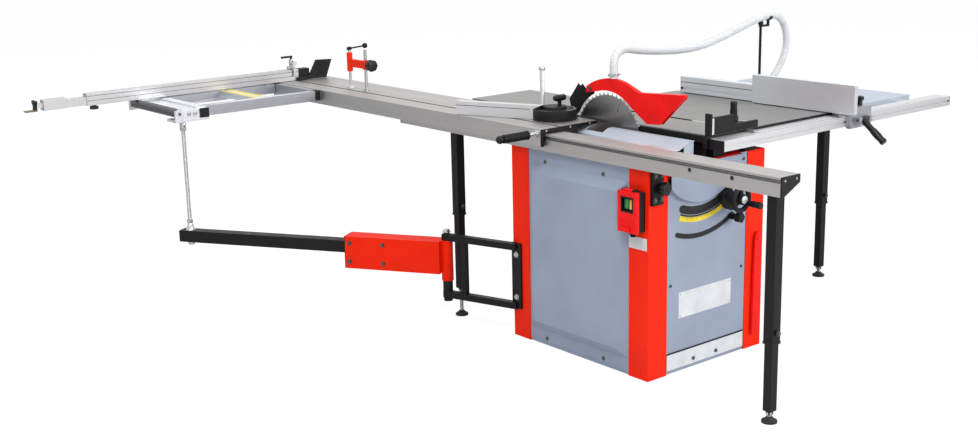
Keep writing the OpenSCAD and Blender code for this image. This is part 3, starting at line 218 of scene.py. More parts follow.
def moulded(name, colour, roughness, texture=0.25, coat=0.0, shine=0.5):
    """Moulded plastic with a fine spark-eroded texture."""
    made = Shader(name, Coat_Weight=coat, Coat_Roughness=0.1, Specular_IOR_Level=shine)
    made.colour(made.blend(made.remap(made.noise(14.0, 4.0), 0, 1), tint(colour, 0.88), tint(colour, 1.1)))
    made.rough(made.remap(made.noise(60.0, 4.0), roughness - 0.06, roughness + 0.08))
    made.bump(made.noise(900.0, 2.0), texture, 0.0005)
    return made.material


def clear_plastic(name):
    """Milky see-through vinyl."""
    made = Shader(name, Transmission_Weight=0.2, IOR=1.2)
    made.colour(made.blend(made.remap(made.noise(20.0, 3.0), 0, 1), (0.80, 0.82, 0.84), (0.88, 0.89, 0.9)))
    made.rough(made.remap(made.noise(90.0, 3.0), 0.3, 0.4))
    made.bump(made.noise(120.0, 2.0), 0.02, 0.0004)
    return made.material


FINE = 900.0
red_paint = paint("red_paint", (0.95, 0.021, 0.002), 0.45, wear_and_edge_light=0.2, coat=0.02, shine=0.1)
grey_paint = paint("grey_paint", (0.30, 0.355, 0.46), 0.45, peel=0.16, wear_and_edge_light=0.2, coat=0.12)
black_paint = paint("black_paint", (0.006, 0.006, 0.007), 0.45, wear_and_edge_light=0.03, coat=0.02, shine=0.2)
sheet_grey = paint("sheet_grey", (0.44, 0.50, 0.58), 0.42, wear_and_edge_light=0.15, coat=0.12)
guard_red = moulded("guard_red", (0.94, 0.008, 0.007), 0.38, 0.03, 0.03, 0.15)
clamp_red = paint("clamp_red", (0.93, 0.03, 0.004), 0.42, wear_and_edge_light=0.2, coat=0.03, shine=0.12)
black_plastic = moulded("black_plastic", (0.007, 0.007, 0.008), 0.5, 0.15, 0.0, 0.25)
black_gloss = moulded("black_gloss", (0.006, 0.006, 0.007), 0.34, 0.05, 0.06, 0.3)
rubber = moulded("rubber", (0.01, 0.01, 0.011), 0.7, 0.3)
label_white = moulded("label_white", (0.70, 0.72, 0.75), 0.4, 0.03, 0.1)
yellow_print = moulded("yellow_print", (0.86, 0.68, 0.03), 0.42, 0.03)
green_plastic = moulded("green_plastic", (0.03, 0.3, 0.08), 0.32, 0.04, 0.3)
yellow_plastic = moulded("yellow_plastic", (0.8, 0.55, 0.04), 0.32, 0.04, 0.3)
brown_plate = moulded("brown_plate", (0.2, 0.13, 0.07), 0.5, 0.15)
cast_iron = metal("cast_iron", (0.31, 0.305, 0.295), 0.42, (FINE, 14, FINE), 0.08, 0.15)
rough_iron = paint("rough_iron", (0.14, 0.15, 0.16), 0.6, 0.5, 0.2, 0.0)
alloy_x = metal("alloy_x", (0.43, 0.445, 0.48), 0.42, (4, FINE, FINE), 0.05, 0.05)
alloy_y = metal("alloy_y", (0.79, 0.82, 0.86), 0.38, (FINE, 4, FINE), 0.05, 0.06)
carriage_alloy = metal("carriage_alloy", (0.49, 0.478, 0.47), 0.46, (FINE, 3, FINE), 0.08, 0.12)
fence_alloy = metal("fence_alloy", (0.55, 0.548, 0.555), 0.42, (4, FINE, FINE), 0.03, 0.03)
bright_alloy = metal("bright_alloy", (0.70, 0.70, 0.71), 0.42, (4, FINE, FINE), 0.03, 0.03)
steel = metal("steel", (0.55, 0.555, 0.565), 0.3, (FINE, FINE, FINE), 0.05, 0.05)
blade_steel = metal("blade_steel", (0.42, 0.41, 0.415), 0.3, (FINE, FINE, FINE), 0.05, 0.1)
dark_steel = metal("dark_steel", (0.12, 0.12, 0.125), 0.45, (FINE, FINE, FINE), 0.08, 0.05)
hose_vinyl = clear_plastic("hose_vinyl")

FINISH = {
    red_paint: ("cabinet_frame", "swing_arm"),
    grey_paint: ("left_panel", "front_panel", "rear_panel", "right_panel", "base_tray"),
    black_paint: ("beam_brackets", "leg_sleeves", "leg_front", "leg_left", "leg_right",
                  "swing_bracket", "swing_tube", "hose_post", "riving_knife"),
    sheet_grey: ("right_extension", "cover_strip"),
    guard_red: ("blade_guard", "switch_cover", "push_stick"),
    clamp_red: ("clamp_arm",),
    black_plastic: ("beam_caps", "table_insert", "switch_box", "dust_port", "tilt_knob", "rise_wheel",
                    "rip_lever", "push_handle", "fence_shoe", "clamp_plunger", "miter_fence",
                    "gauge_head"),
    rubber: ("drive_belt",),
    green_plastic: ("start_button",),
    yellow_plastic: ("stop_button",),
    cast_iron: ("main_table", "rear_extension"),
    rough_iron: ("tilt_cradle", "arbor_block", "motor"),
    alloy_x: ("rip_carrier", "outrigger"),
    alloy_y: ("rip_profile", "rip_plate"),
    carriage_alloy: ("carriage", "beam_rail"),
    fence_alloy: ("crosscut_extension", "crosscut_fence", "flip_stop"),
    bright_alloy: ("rip_rail",),
    blade_steel: ("blade",),
    steel: ("arbor_shaft", "gauge_bar", "clamp_post", "motor_pulley"),
    dark_steel: ("blade_flange", "outrigger_roller"),
    hose_vinyl: ("hose",),
}


def finish_nodes():
    for material, names in FINISH.items():
        for name in names:
            mesh = NODES[name].data
            mesh.materials.clear()
            mesh.materials.append(material)


finish_nodes()


def tint_faces(name, material, where):
    """Gives another finish to the faces whose middle, in millimetres, and normal pass the test."""
    node = NODES[name]
    mesh = node.data
    mesh.materials.append(material)
    for face in mesh.polygons:
        if where(node.matrix_world @ face.center / MM, face.normal):
            face.material_index = len(mesh.materials) - 1


def near(c, x, y, reach):
    """Whether a point lies within a distance of an upright axis, in millimetres."""
    return math.hypot(c.x - x, c.y - y) < reach


def soften(width, *names):
    """Rounds the sharp edges of nodes by modifiers."""
    for name in names:
        node = NODES[name]
        weld = node.modifiers.new("weld", "WELD")
        weld.merge_threshold = 1e-5
        flat = node.modifiers.new("flat", "DECIMATE")
        flat.decimate_type = "DISSOLVE"
        flat.angle_limit = math.radians(0.6)
        flat.delimit = {"MATERIAL"}
        bevel = node.modifiers.new("bevel", "BEVEL")
        bevel.width = width
        bevel.segments = 2
        bevel.limit_method = "ANGLE"
        bevel.angle_limit = math.radians(38)
        bevel.harden_normals = True


# Sizes of the machine, in millimetres
TABLE_Z = 850
TILT_AXIS = (-45, TABLE_Z)
BLADE = Vector((-45, 100, 783))
BLADE_R = 175
TEETH = 48
PANEL_X, PANEL_Y = 302, 357
MITER = (-150, 285)
CLAMP = (-222, 1450)
PLUNGER = (-222, 1575)
GAUGE = (176, -330)
PIVOT = (-411, 647)
SWING_REACH = Vector((-631, 979))
# Each leg's x and y, and the lower ends of its sleeve and of its inner tube
LEGS = {
    "front_leg": (-275, -875, 269, 40),
    "left_leg": (-302, 700, 426, 117),
    "right_leg": (1210, 49, 331, 45),
}
SLEEVE = 38
BEAM_X = -325
BEAM_Y0, BEAM_Y1 = -930, 1050
REAR_PLATE_Y = 930
CARRIAGE_Y0, CARRIAGE_Y1 = 150, 2050
FENCE_Z = 852
RIP_BAR_Y0, RIP_BAR_Y1 = -460, 385
RIP_PLATE_Y0, RIP_PLATE_Y1 = -498, -18

tint_faces("main_table", black_paint, lambda c, n: n.z < 0.5)
tint_faces("miter_fence", bright_alloy, lambda c, n: not near(c, *MITER, 86))
tint_faces("miter_fence", steel, lambda c, n: near(c, MITER[0] - 20, MITER[1] + 48, 10) and c.z > 892)
tint_faces("clamp_arm", black_gloss, lambda c, n: c.y < CLAMP[1] - 25)
tint_faces("clamp_plunger", steel, lambda c, n: near(c, *PLUNGER, 8) and c.z < 1020)
tint_faces("clamp_plunger", label_white, lambda c, n: c.z < 864)
tint_faces("push_handle", steel, lambda c, n: c.x > -393)
tint_faces("crosscut_extension", black_plastic, lambda c, n: c.x < -1515)
tint_faces("crosscut_extension", brown_plate, lambda c, n: c.x < -1530)
tint_faces("swing_tube", steel, lambda c, n: c.z > 329 or c.z < 276)
tint_faces("flip_stop", black_gloss, lambda c, n: c.z > 952)
tint_faces("cover_strip", alloy_y, lambda c, n: c.x < -141 and c.z > 800)
tint_faces("rip_carrier", black_gloss, lambda c, n: c.z > 874 and c.y < -420)
tint_faces("outrigger", alloy_y, lambda c, n: c.x < -923 or -666 < c.x < -602)
tint_faces("rip_lever", dark_steel, lambda c, n: c.y > -486)
for leg, (*_, bottom) in LEGS.items():
    tint_faces("leg_" + leg.split("_")[0], dark_steel, lambda c, n: 8 < c.z < bottom - 13)

soften(0.0012, "cabinet_frame", "left_panel", "front_panel", "right_panel", "rear_panel", "main_table",
       "right_extension", "rear_extension", "cover_strip", "beam_brackets", "swing_bracket", "base_tray")
soften(0.001, "rip_rail", "rip_profile", "rip_plate", "beam_rail", "beam_caps", "carriage", "outrigger",
       "crosscut_fence", "crosscut_extension", "leg_sleeves", "swing_arm", "swing_tube")
soften(0.0015, "switch_box", "switch_cover", "blade_guard", "fence_shoe", "push_stick", "rip_carrier",
       "gauge_head", "miter_fence", "start_button", "stop_button")


# Mesh helpers
def facing(at, axis):
    """A matrix that puts local +Z along axis, at a point."""
    return Matrix.Translation(at) @ axis.to_track_quat("Z", "Y").to_matrix().to_4x4()


def add_box(bm, low, high, turn=Matrix()):
    size = high - low
    middle = (low + high) / 2
    place = turn @ Matrix.Translation(middle) @ Matrix.Diagonal((*size, 1))
    bmesh.ops.create_cube(bm, size=1, matrix=place)


def add_lathe(bm, outline, place, sides=24, lobes=0, depth=0.0):
    """A turned solid: outline is (radius, height) from the axis and back to it. Lobes make a star knob."""
    rings = []
    for radius, height in outline:
        if radius == 0:
            rings.append([bm.verts.new(place @ Vector((0, 0, height)))])
            continue
        ring = []
        for k in range(sides):
            turn = 2 * math.pi * k / sides
            r = radius * (1 - depth * (0.5 - 0.5 * math.cos(lobes * turn)))
            ring.append(bm.verts.new(place @ Vector((r * math.cos(turn), r * math.sin(turn), height))))
        rings.append(ring)
    for a, b in zip(rings, rings[1:]):
        for k in range(sides):
            n = (k + 1) % sides
            if len(a) == 1:
                bm.faces.new((a[0], b[n], b[k]))
            elif len(b) == 1:
                bm.faces.new((a[k], a[n], b[0]))
            else:
                bm.faces.new((a[k], a[n], b[n], b[k]))


def drawn_x(side):
    """Turns a flat outline into Y and Z, drawn out along X to one side."""
    return Matrix(((0, 0, side, 0), (1, 0, 0, 0), (0, 1, 0, 0), (0, 0, 0, 1)))


def drawn_y(side):
    """Turns a flat outline into X and Z, drawn out along Y to one side."""
    return Matrix(((1, 0, 0, 0), (0, 0, side, 0), (0, 1, 0, 0), (0, 0, 0, 1)))


def add_prism(bm, outline, low, high, place):
    """A flat outline in local X and Y, drawn out from low to high along local Z."""
    bottom = [bm.verts.new(place @ Vector((x, y, low))) for x, y in outline]
    top = [bm.verts.new(place @ Vector((x, y, high))) for x, y in outline]
    bm.faces.new(bottom[::-1])
    bm.faces.new(top)
    count = len(outline)
    for k in range(count):
        n = (k + 1) % count
        bm.faces.new((bottom[k], bottom[n], top[n], top[k]))


def add_rod(bm, start, end, radius, sides=20, bevel=0.0006):
    length = (end - start).length
    edge = min(bevel, radius / 3)
    outline = [(0, 0), (radius - edge, 0), (radius, edge), (radius, length - edge),
               (radius - edge, length), (0, length)]
    add_lathe(bm, outline, facing(start, end - start), sides)


def make(name, bm, material, body, bevel=0.0, smooth=35, stands_for=()):
    """Turns a bmesh into a piece that rides a body, or is left without one."""
    bmesh.ops.recalc_face_normals(bm, faces=bm.faces)
    mesh = bpy.data.meshes.new(name)
    bm.to_mesh(mesh)
    bm.free()
    made = bpy.data.objects.new(name, mesh)
    scene.collection.objects.link(made)
    mesh.materials.append(material)
    if bevel:
        edge = made.modifiers.new("bevel", "BEVEL")
        edge.width = bevel
        edge.segments = 2
        edge.limit_method = "ANGLE"
        edge.angle_limit = math.radians(40)
        edge.harden_normals = True
    mesh.shade_smooth()
    mesh.set_sharp_from_angle(angle=math.radians(smooth))
    if body:
        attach(made, body)
    if stands_for:
        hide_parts(*stands_for)
    return made


# Fasteners and hand parts
def add_screw(bm, at, axis, radius):
    """A pan head with a round recess."""
    r = radius
    outline = [(0, -0.1 * r), (r, -0.1 * r), (r, 0.3 * r), (0.75 * r, 0.55 * r), (0.35 * r, 0.6 * r),
               (0.3 * r, 0.25 * r), (0, 0.25 * r)]
    add_lathe(bm, outline, facing(at, axis), 16)


def add_bolt(bm, at, axis, across):
    """A hexagon head on a washer."""
    r = across / math.sqrt(3)
    place = facing(at, axis)
    add_lathe(bm, [(0, -0.0002), (1.3 * r, -0.0002), (1.3 * r, 0.14 * r), (0, 0.14 * r)], place, 24)
    add_lathe(bm, [(0, 0.1 * r), (r, 0.1 * r), (r, 0.7 * r), (0.86 * r, 0.82 * r), (0, 0.82 * r)], place, 6)


def add_knob(bm, at, axis, radius, height, lobes=6):
    """A lobed hand knob on a short neck."""
    r, h = radius, height
    outline = [(0, 0), (0.45 * r, 0), (0.45 * r, 0.25 * h), (0.92 * r, 0.3 * h), (r, 0.42 * h), (r, 0.8 * h),
               (0.9 * r, 0.95 * h), (0.5 * r, h), (0, h)]
    add_lathe(bm, outline, facing(at, axis), 48, lobes, 0.2)


def add_ticks(bm, start, step, count, size, every=5, longer=None):
    """Scale lines: thin bars from start on, each every-th one of the longer size."""
    for k in range(count):
        at = start + k * step
        add_box(bm, at, at + (longer if longer is not None and k % every == 0 else size))


def add_arc(bm, r0, r1, a0, a1, y, thick, parts=32):
    """A flat band along an arc about the tilt axis, standing thick out of the front panel at y."""
    x, z = TILT_AXIS
    turns = [math.radians(a0 + (a1 - a0) * k / parts) for k in range(parts + 1)]
    outer = [(x + r1 * math.cos(t), z + r1 * math.sin(t)) for t in turns]
    inner = [(x + r0 * math.cos(t), z + r0 * math.sin(t)) for t in reversed(turns)]
    outline = [(u * MM, v * MM) for u, v in outer + inner]
    place = Matrix.Translation(mm(0, y, 0)) @ drawn_y(-1)
    add_prism(bm, outline, 0, thick * MM, place)


def spiral_rings(bm, path, radius, depth, steps, sides, across):
    """Rings of points along a path whose radius dips by depth along a spiral of steps points a turn."""
    rings = []
    for k, point in enumerate(path):
        ahead = (path[min(k + 1, len(path) - 1)] - path[max(k - 1, 0)]).normalized()
        u = ahead.cross(across).normalized()
        v = ahead.cross(u)
        ring = []
        for s in range(sides):
            turn = 2 * math.pi * s / sides
            r = radius - depth * (0.5 - 0.5 * math.cos(2 * math.pi * k / steps - turn))
            ring.append(bm.verts.new(point + r * (math.cos(turn) * u + math.sin(turn) * v)))
        rings.append(ring)
    return rings


def join_rings(bm, rings):
    for a, b in zip(rings, rings[1:]):
        for s in range(len(a)):
            n = (s + 1) % len(a)
            bm.faces.new((a[s], a[n], b[n], b[s]))


def add_thread(bm, start, end, radius, pitch):
    count = max(6, round((end - start).length / pitch * 6))
    path = [start.lerp(end, k / count) for k in range(count + 1)]
    rings = spiral_rings(bm, path, radius, 0.14 * radius, 6, 12, Y)
    join_rings(bm, rings)
    bm.faces.new(rings[0])
    bm.faces.new(rings[-1])


# Cabinet
SIDE_SCREWS = [(172, 720), (-135, 720), (172, 30), (-135, 30)]
SLOT_TURNS = (-59, -110)
LOW_SLOT_TURNS = (-60, -109)
WHEEL_R, LOCK_R = 265, 358


def make_cabinet():
    bm = bmesh.new()
    for side in (-1, 1):
        for y, z in SIDE_SCREWS:
            add_screw(bm, mm(side * PANEL_X, y, z), side * X, 0.0075)
    for x in (-69, 54):
        add_screw(bm, mm(x, -PANEL_Y - 4, 34), -Y, 0.007)
        add_screw(bm, mm(x, PANEL_Y, 34), Y, 0.007)
    for x in (-190, 190):
        for z in (330, 735):
            add_screw(bm, mm(x, -PANEL_Y, z), -Y, 0.006)
            add_screw(bm, mm(x, PANEL_Y, z), Y, 0.006)
    make("panel_screws", bm, dark_steel, "frame")

    bm = bmesh.new()
    add_box(bm, mm(-206, -PANEL_Y - 3, 14), mm(206, -PANEL_Y + 0.5, 74))
    make("bottom_strip", bm, label_white, "frame", bevel=0.002)
    bm = bmesh.new()
    add_box(bm, mm(-206, -PANEL_Y - 3.5, 74), mm(206, -PANEL_Y + 0.5, 79))
    make("bottom_strip_line", bm, black_plastic, "frame", bevel=0.001)
    bm = bmesh.new()
    add_box(bm, mm(-146, -PANEL_Y - 0.8, 200), mm(134, -PANEL_Y + 0.5, 296))
    make("blank_plate", bm, label_white, "frame", bevel=0.0005)
    bm = bmesh.new()
    for x in (-138, 126):
        for z in (208, 288):
            add_screw(bm, mm(x, -PANEL_Y - 0.8, z), -Y, 0.0028)
    make("plate_rivets", bm, steel, "frame")

    bm = bmesh.new()
    add_arc(bm, WHEEL_R + 24, WHEEL_R + 42, *SLOT_TURNS, -PANEL_Y, 0.5)
    make("tilt_scale", bm, yellow_print, "frame")
    bm = bmesh.new()
    add_arc(bm, WHEEL_R + 18, WHEEL_R + 23, *SLOT_TURNS, -PANEL_Y, 0.6)
    for k in range(46):
        turn = -62 - k
        long = 11 if k % 5 == 0 else 6
        add_arc(bm, WHEEL_R + 24, WHEEL_R + 24 + long, turn - 0.08, turn + 0.08, -PANEL_Y, 0.8, 1)
    make("tilt_scale_lines", bm, black_plastic, "frame")
    bm = bmesh.new()
    add_arc(bm, WHEEL_R + 13, WHEEL_R + 15, *SLOT_TURNS, -PANEL_Y, 1.2)
    add_arc(bm, WHEEL_R - 15, WHEEL_R - 13, *SLOT_TURNS, -PANEL_Y, 1.2)
    add_arc(bm, LOCK_R + 7, LOCK_R + 9, *LOW_SLOT_TURNS, -PANEL_Y, 1.2)
    add_arc(bm, LOCK_R - 9, LOCK_R - 7, *LOW_SLOT_TURNS, -PANEL_Y, 1.2)
    make("slot_edging", bm, rubber, "frame")
    # A black band just behind each slot in the front panel: painted shade seen through the slot.
    bm = bmesh.new()
    for r, half in ((WHEEL_R, 22), (LOCK_R, 15)):
        add_arc(bm, r - half, r + half, -52, -116, -PANEL_Y + 5, 2.5, 64)
    make("slot_shade_backing", bm, rubber, "frame")


LID_X = -349.5
WINDOW_Z = 618.5


def make_switch():
    y = (LOW["switch_cover"].y + HIGH["switch_cover"].y) / 2 / MM
    bm = bmesh.new()
    for dy, dz, half_y, half_z in ((0, 50, 29, 3), (0, 0, 29, 3), (27, 25, 3, 28), (-27, 25, 3, 28)):
        z = WINDOW_Z + dz
        low = mm(LID_X - 3, y + dy - half_y, z - half_z)
        add_box(bm, low, mm(LID_X, y + dy + half_y, z + half_z))
    make("switch_window", bm, black_plastic, "switch_lid", bevel=0.001)
    bm = bmesh.new()
    for k in range(5):
        add_box(bm, mm(LID_X - 3.5, y - 30, 590 - 9 * k), mm(LID_X - 1, y + 30, 594 - 9 * k))
    make("switch_ribs", bm, guard_red, "switch_lid", bevel=0.001)
    bm = bmesh.new()
    add_box(bm, mm(-305.8, -352, 478), mm(-304.8, -266, 522))
    make("switch_plate", bm, label_white, "frame", bevel=0.0004)
    bm = bmesh.new()
    for dy in (-37, 37):
        for z in (553, 681):
            add_screw(bm, mm(-337, y + dy, z), -X, 0.003)
    add_rod(bm, mm(-320, y, 548), mm(-320, y, 524), 0.009)
    for k in range(5):
        add_lathe(bm, [(0.009, 0), (0.0105, 0.001), (0.0105, 0.002), (0.009, 0.003)],
                  facing(mm(-320, y, 545 - 4.2 * k), -Z), 20)
    make("switch_gland", bm, black_plastic, "frame")


make_cabinet()
make_switch()


# Tables, rail and beam
def make_tables():
    bm = bmesh.new()
    for k in range(5):
        add_screw(bm, mm(-29, -350 + 192 * k, TABLE_Z), Z, 0.004)
    make("insert_screws", bm, dark_steel, "frame")
    bm = bmesh.new()
    for x in (20, 135, 250):
        add_bolt(bm, mm(x, REAR_PLATE_Y, 830), Y, 0.013)
    for x in (760, 960, 1160):
        add_bolt(bm, mm(x, 440, 832), Y, 0.013)
    for y in (-200, 40, 280):
        add_bolt(bm, mm(1238, y, 832), X, 0.013)
    make("edge_bolts", bm, steel, "frame")
    bm = bmesh.new()
    add_ticks(bm, mm(40, -441, 840), mm(10, 0, 0), 130, mm(0.8, 8, 0.25), 5, mm(0.8, 14, 0.25))
    make("rail_scale", bm, black_plastic, "frame")
    for name, x, turn in (("rail_cap_left", -21, -X), ("rail_cap_right", 1368, X)):
        bm = bmesh.new()
        add_prism(bm, [(-0.0335, -0.0185), (0.0335, -0.0185), (0.0335, 0.0185), (-0.0335, 0.0185)],
                  -0.001, 0.004, Matrix.Translation(mm(x, -412.5, 820.5)) @ drawn_x(turn.x))
        for y in (-435, -390):
            add_screw(bm, mm(x + 4 * turn.x, y, 820.5), turn, 0.004)
        make(name, bm, black_plastic, "frame", bevel=0.0015)
    # Dark rims round holes in the beam, each hole filled with a flat dark disc: painted shade inside the
    # hole.
    bm = bmesh.new()
    for y in (-739, -560, 500, 850):
        place = facing(mm(BEAM_X, y, 800), -X)
        add_lathe(bm, [(0.0055, 0.0004), (0.0075, 0.0004), (0.0075, -0.001), (0.0055, -0.001),
                       (0.0055, 0.0004)], place, 24)
        add_lathe(bm, [(0, 0.0001), (0.0055, 0.0001), (0.0055, -0.001), (0, -0.001)], place, 24)
    make("beam_hole_rims_and_shade", bm, rubber, "frame")
    # A dark strip along the beam's side: painted shade of its groove.
    bm = bmesh.new()
    add_box(bm, mm(BEAM_X - 0.4, BEAM_Y0 + 1, 810), mm(BEAM_X + 0.4, BEAM_Y1 - 1, 815.5))
    make("beam_groove_shade", bm, dark_steel, "frame")
    bm = bmesh.new()
    for y, turn in ((BEAM_Y0 - 6, -Y), (BEAM_Y1 + 6, Y)):
        for x in (-310, -255):
            add_screw(bm, mm(x, y, 818), turn, 0.004)
    make("beam_cap_screws", bm, steel, "frame")
    bm = bmesh.new()
    add_knob(bm, mm(-265, -378, 700), -Y, 0.025, 0.032, 5)
    make("bracket_knob", bm, black_gloss, "frame")
    bm = bmesh.new()
    for x in (-290, -258):
        add_bolt(bm, mm(x, -374, 660), -Y, 0.013)
        add_bolt(bm, mm(x, -374, 745), -Y, 0.013)
    make("bracket_bolts", bm, dark_steel, "frame")


make_tables()


# Legs
def make_legs():
    for body, (x, y, top, bottom) in LEGS.items():
        bm = bmesh.new()
        add_thread(bm, mm(x, y, 12), mm(x, y, bottom - 11), 0.0078, 0.003)
        make(body + "_thread", bm, steel, body, smooth=60)
        bm = bmesh.new()
        add_lathe(bm, [(0, 0), (0.0262, 0), (0.0268, 0.003), (0.0255, 0.008), (0.016, 0.013), (0.0105, 0.02),
                       (0, 0.02)], facing(mm(x, y, 0), Z), 32)
        make(body + "_foot", bm, rubber, body)
        bm = bmesh.new()
        r = 0.0135
        add_lathe(bm, [(0, 0), (r, 0), (r, 0.01), (0, 0.01)], facing(mm(x, y, bottom - 13), Z), 6)
        make(body + "_nut", bm, steel, body, bevel=0.001)
        bm = bmesh.new()
        add_bolt(bm, mm(x, y - SLEEVE / 2 - 6, top + 40), -Y, 0.014)
        make(body + "_lock", bm, dark_steel, "frame")
        bm = bmesh.new()
        half = SLEEVE / 2 + 1.5
        for low, high in ((mm(-half, -half, 0), mm(half, 1.5 - half, 9)),
                          (mm(-half, half - 1.5, 0), mm(half, half, 9)),
                          (mm(-half, -half, 0), mm(1.5 - half, half, 9)),
                          (mm(half - 1.5, -half, 0), mm(half, half, 9))):
            add_box(bm, low, high, Matrix.Translation(mm(x, y, top)))
        make(body + "_collar", bm, black_plastic, "frame", bevel=0.001)


make_legs()


# Swing arm
BOX_R0, BOX_L, BOX_W = 20, 408, 80
BOX_Z0, BOX_Z1 = 215.7, 349.7
TUBE_S, TUBE_Z = 50, 302
SWING_L = SWING_REACH.length
ALONG = Matrix.Translation(mm(*PIVOT, 0)) @ Matrix.Rotation(math.atan2(SWING_REACH.y, SWING_REACH.x), 4, "Z")


def make_swing():
    end = BOX_R0 + BOX_L
    half = TUBE_S / 2 + 1
    bm = bmesh.new()
    for y0, y1, z0, z1 in ((-BOX_W / 2, BOX_W / 2, BOX_Z0, TUBE_Z - half),
                           (-BOX_W / 2, BOX_W / 2, TUBE_Z + half, BOX_Z1),
                           (-BOX_W / 2, -half, TUBE_Z - half, TUBE_Z + half),
                           (half, BOX_W / 2, TUBE_Z - half, TUBE_Z + half)):
        add_box(bm, mm(end, y0, z0), mm(end + 4, y1, z1), ALONG)
    make("swing_end_plate", bm, black_plastic, "swing", bevel=0.001)
    bm = bmesh.new()
    for side in (-1, 1):
        for x in (end - 165, end - 18):
            for z in (BOX_Z0 + 28, BOX_Z1 - 28):
                add_bolt(bm, ALONG @ mm(x, side * BOX_W / 2, z), ALONG.to_3x3() @ (side * Y), 0.013)
    make("swing_bolts", bm, dark_steel, "swing")
    bm = bmesh.new()
    tube_end = SWING_L + 40
    add_box(bm, mm(tube_end - 0.5, -TUBE_S / 2 + 1, TUBE_Z - TUBE_S / 2 + 1),
            mm(tube_end + 4, TUBE_S / 2 - 1, TUBE_Z + TUBE_S / 2 - 1), ALONG)
    make("swing_tube_cap", bm, black_plastic, "swing_slide", bevel=0.0015)
    bm = bmesh.new()
    rod_z0, rod_z1 = TUBE_Z + TUBE_S / 2 + 34, 764
    add_thread(bm, ALONG @ mm(SWING_L, 0, rod_z0), ALONG @ mm(SWING_L, 0, rod_z1), 0.0088, 0.004)
    make("support_thread", bm, steel, "swing_slide", smooth=60)
    bm = bmesh.new()
    for z in (rod_z0 - 1, rod_z1 - 8):
        add_lathe(bm, [(0, 0), (0.015, 0), (0.015, 0.012), (0, 0.012)],
                  facing(ALONG @ mm(SWING_L, 0, z), Z), 6)
    make("support_nuts", bm, steel, "swing_slide", bevel=0.001)
    bm = bmesh.new()
    for z in (160, 332):
        add_bolt(bm, mm(-313, 334, z), -X, 0.016)
    add_bolt(bm, mm(*PIVOT, 384), Z, 0.024)
    make("bracket_fixings", bm, steel, "frame")


make_swing()


# Blade, guard and handwheel
def make_blade():
    bm = bmesh.new()
    for k in range(TEETH):
        turn = Matrix.Translation(BLADE * MM) @ Matrix.Rotation(2 * math.pi * k / TEETH, 4, "X")
        add_box(bm, mm(-1.7, 0.2, BLADE_R - 8), mm(1.7, 3.4, BLADE_R - 0.4), turn)
    make("carbide_tips", bm, bright_alloy, "spindle")
    bm = bmesh.new()
    # Thin dark strips and discs on the blade's faces: painted shade in its expansion slots and their end
    # holes.
    for k in range(6):
        turn = Matrix.Translation(BLADE * MM) @ Matrix.Rotation(2 * math.pi * (k + 0.4) / 6, 4, "X")
        for x in (-1.14, 1.14):
            add_box(bm, mm(x - 0.04, -0.6, BLADE_R - 52), mm(x + 0.04, 0.6, BLADE_R - 12), turn)
            add_lathe(bm, [(0, -0.00004), (0.0035, -0.00004), (0.0035, 0.00004), (0, 0.00004)],
                      turn @ facing(mm(x, 0, BLADE_R - 54), X), 16)
    make("blade_slot_shade", bm, rubber, "spindle")


GUARD_W = 20
GUARD_PIN = (188, 965)


def make_guard():
    bm = bmesh.new()
    for x in (BLADE.x - GUARD_W / 2 - 0.8, BLADE.x + GUARD_W / 2 - 0.4):
        for start, end in (((-168, 186), (-258, 98)), ((-232, 186), (-300, 128))):
            a, b = Vector(start) * MM, Vector(end) * MM
            wide = Vector((-(b - a).y, (b - a).x)).normalized() * 0.004
            outline = [tuple(a + wide), tuple(a - wide), tuple(b - wide), tuple(b + wide)]
            place = Matrix.Translation(BLADE * MM + mm(x - BLADE.x, 0, 0)) @ drawn_x(1)
            add_prism(bm, outline, 0, 0.0012, place)
    make("guard_ribs", bm, guard_red, "guard", bevel=0.0005)
    bm = bmesh.new()
    add_bolt(bm, mm(BLADE.x - GUARD_W / 2, *GUARD_PIN), -X, 0.012)
    add_bolt(bm, mm(BLADE.x + GUARD_W / 2, *GUARD_PIN), X, 0.012)
    make("guard_bolt", bm, dark_steel, "guard")


def make_handwheel():
    crank = math.radians(-62)
    x = TILT_AXIS[0] + WHEEL_R * math.cos(crank)
    z = TILT_AXIS[1] + WHEEL_R * math.sin(crank)
    front = -457
    bm = bmesh.new()
    add_lathe(bm, [(0, 0), (0.014, 0), (0.0145, 0.002), (0.012, 0.005), (0.006, 0.006), (0, 0.006)],
              facing(mm(x, front, z), -Y), 32)
    make("wheel_cap", bm, bright_alloy, "lift_wheel")
    bm = bmesh.new()
    turn = Matrix.Translation(mm(x, 0, z)) @ Matrix.Rotation(math.radians(30), 4, "Y")
    add_lathe(bm, [(0.0082, 0), (0.0105, 0.002), (0.0125, 0.016), (0.0115, 0.03), (0.0135, 0.042),
                   (0.0115, 0.05), (0, 0.051)], turn @ facing(mm(41, front + 2, 0), -Y), 24)
    make("wheel_grip", bm, black_gloss, "lift_wheel")
    bm = bmesh.new()
    pivot = Matrix.Translation(mm(TILT_AXIS[0], -PANEL_Y - 5, TILT_AXIS[1]))
    outline = [(0.238, -0.024), (0.300, -0.024), (0.318, -0.012), (0.318, 0.012), (0.300, 0.024),
               (0.238, 0.024)]
    add_prism(bm, outline, 0, 0.03, pivot @ Matrix.Rotation(-crank, 4, "Y") @ drawn_y(-1))
    make("wheel_housing", bm, black_plastic, "cradle", bevel=0.002)


make_blade()
make_guard()
make_handwheel()


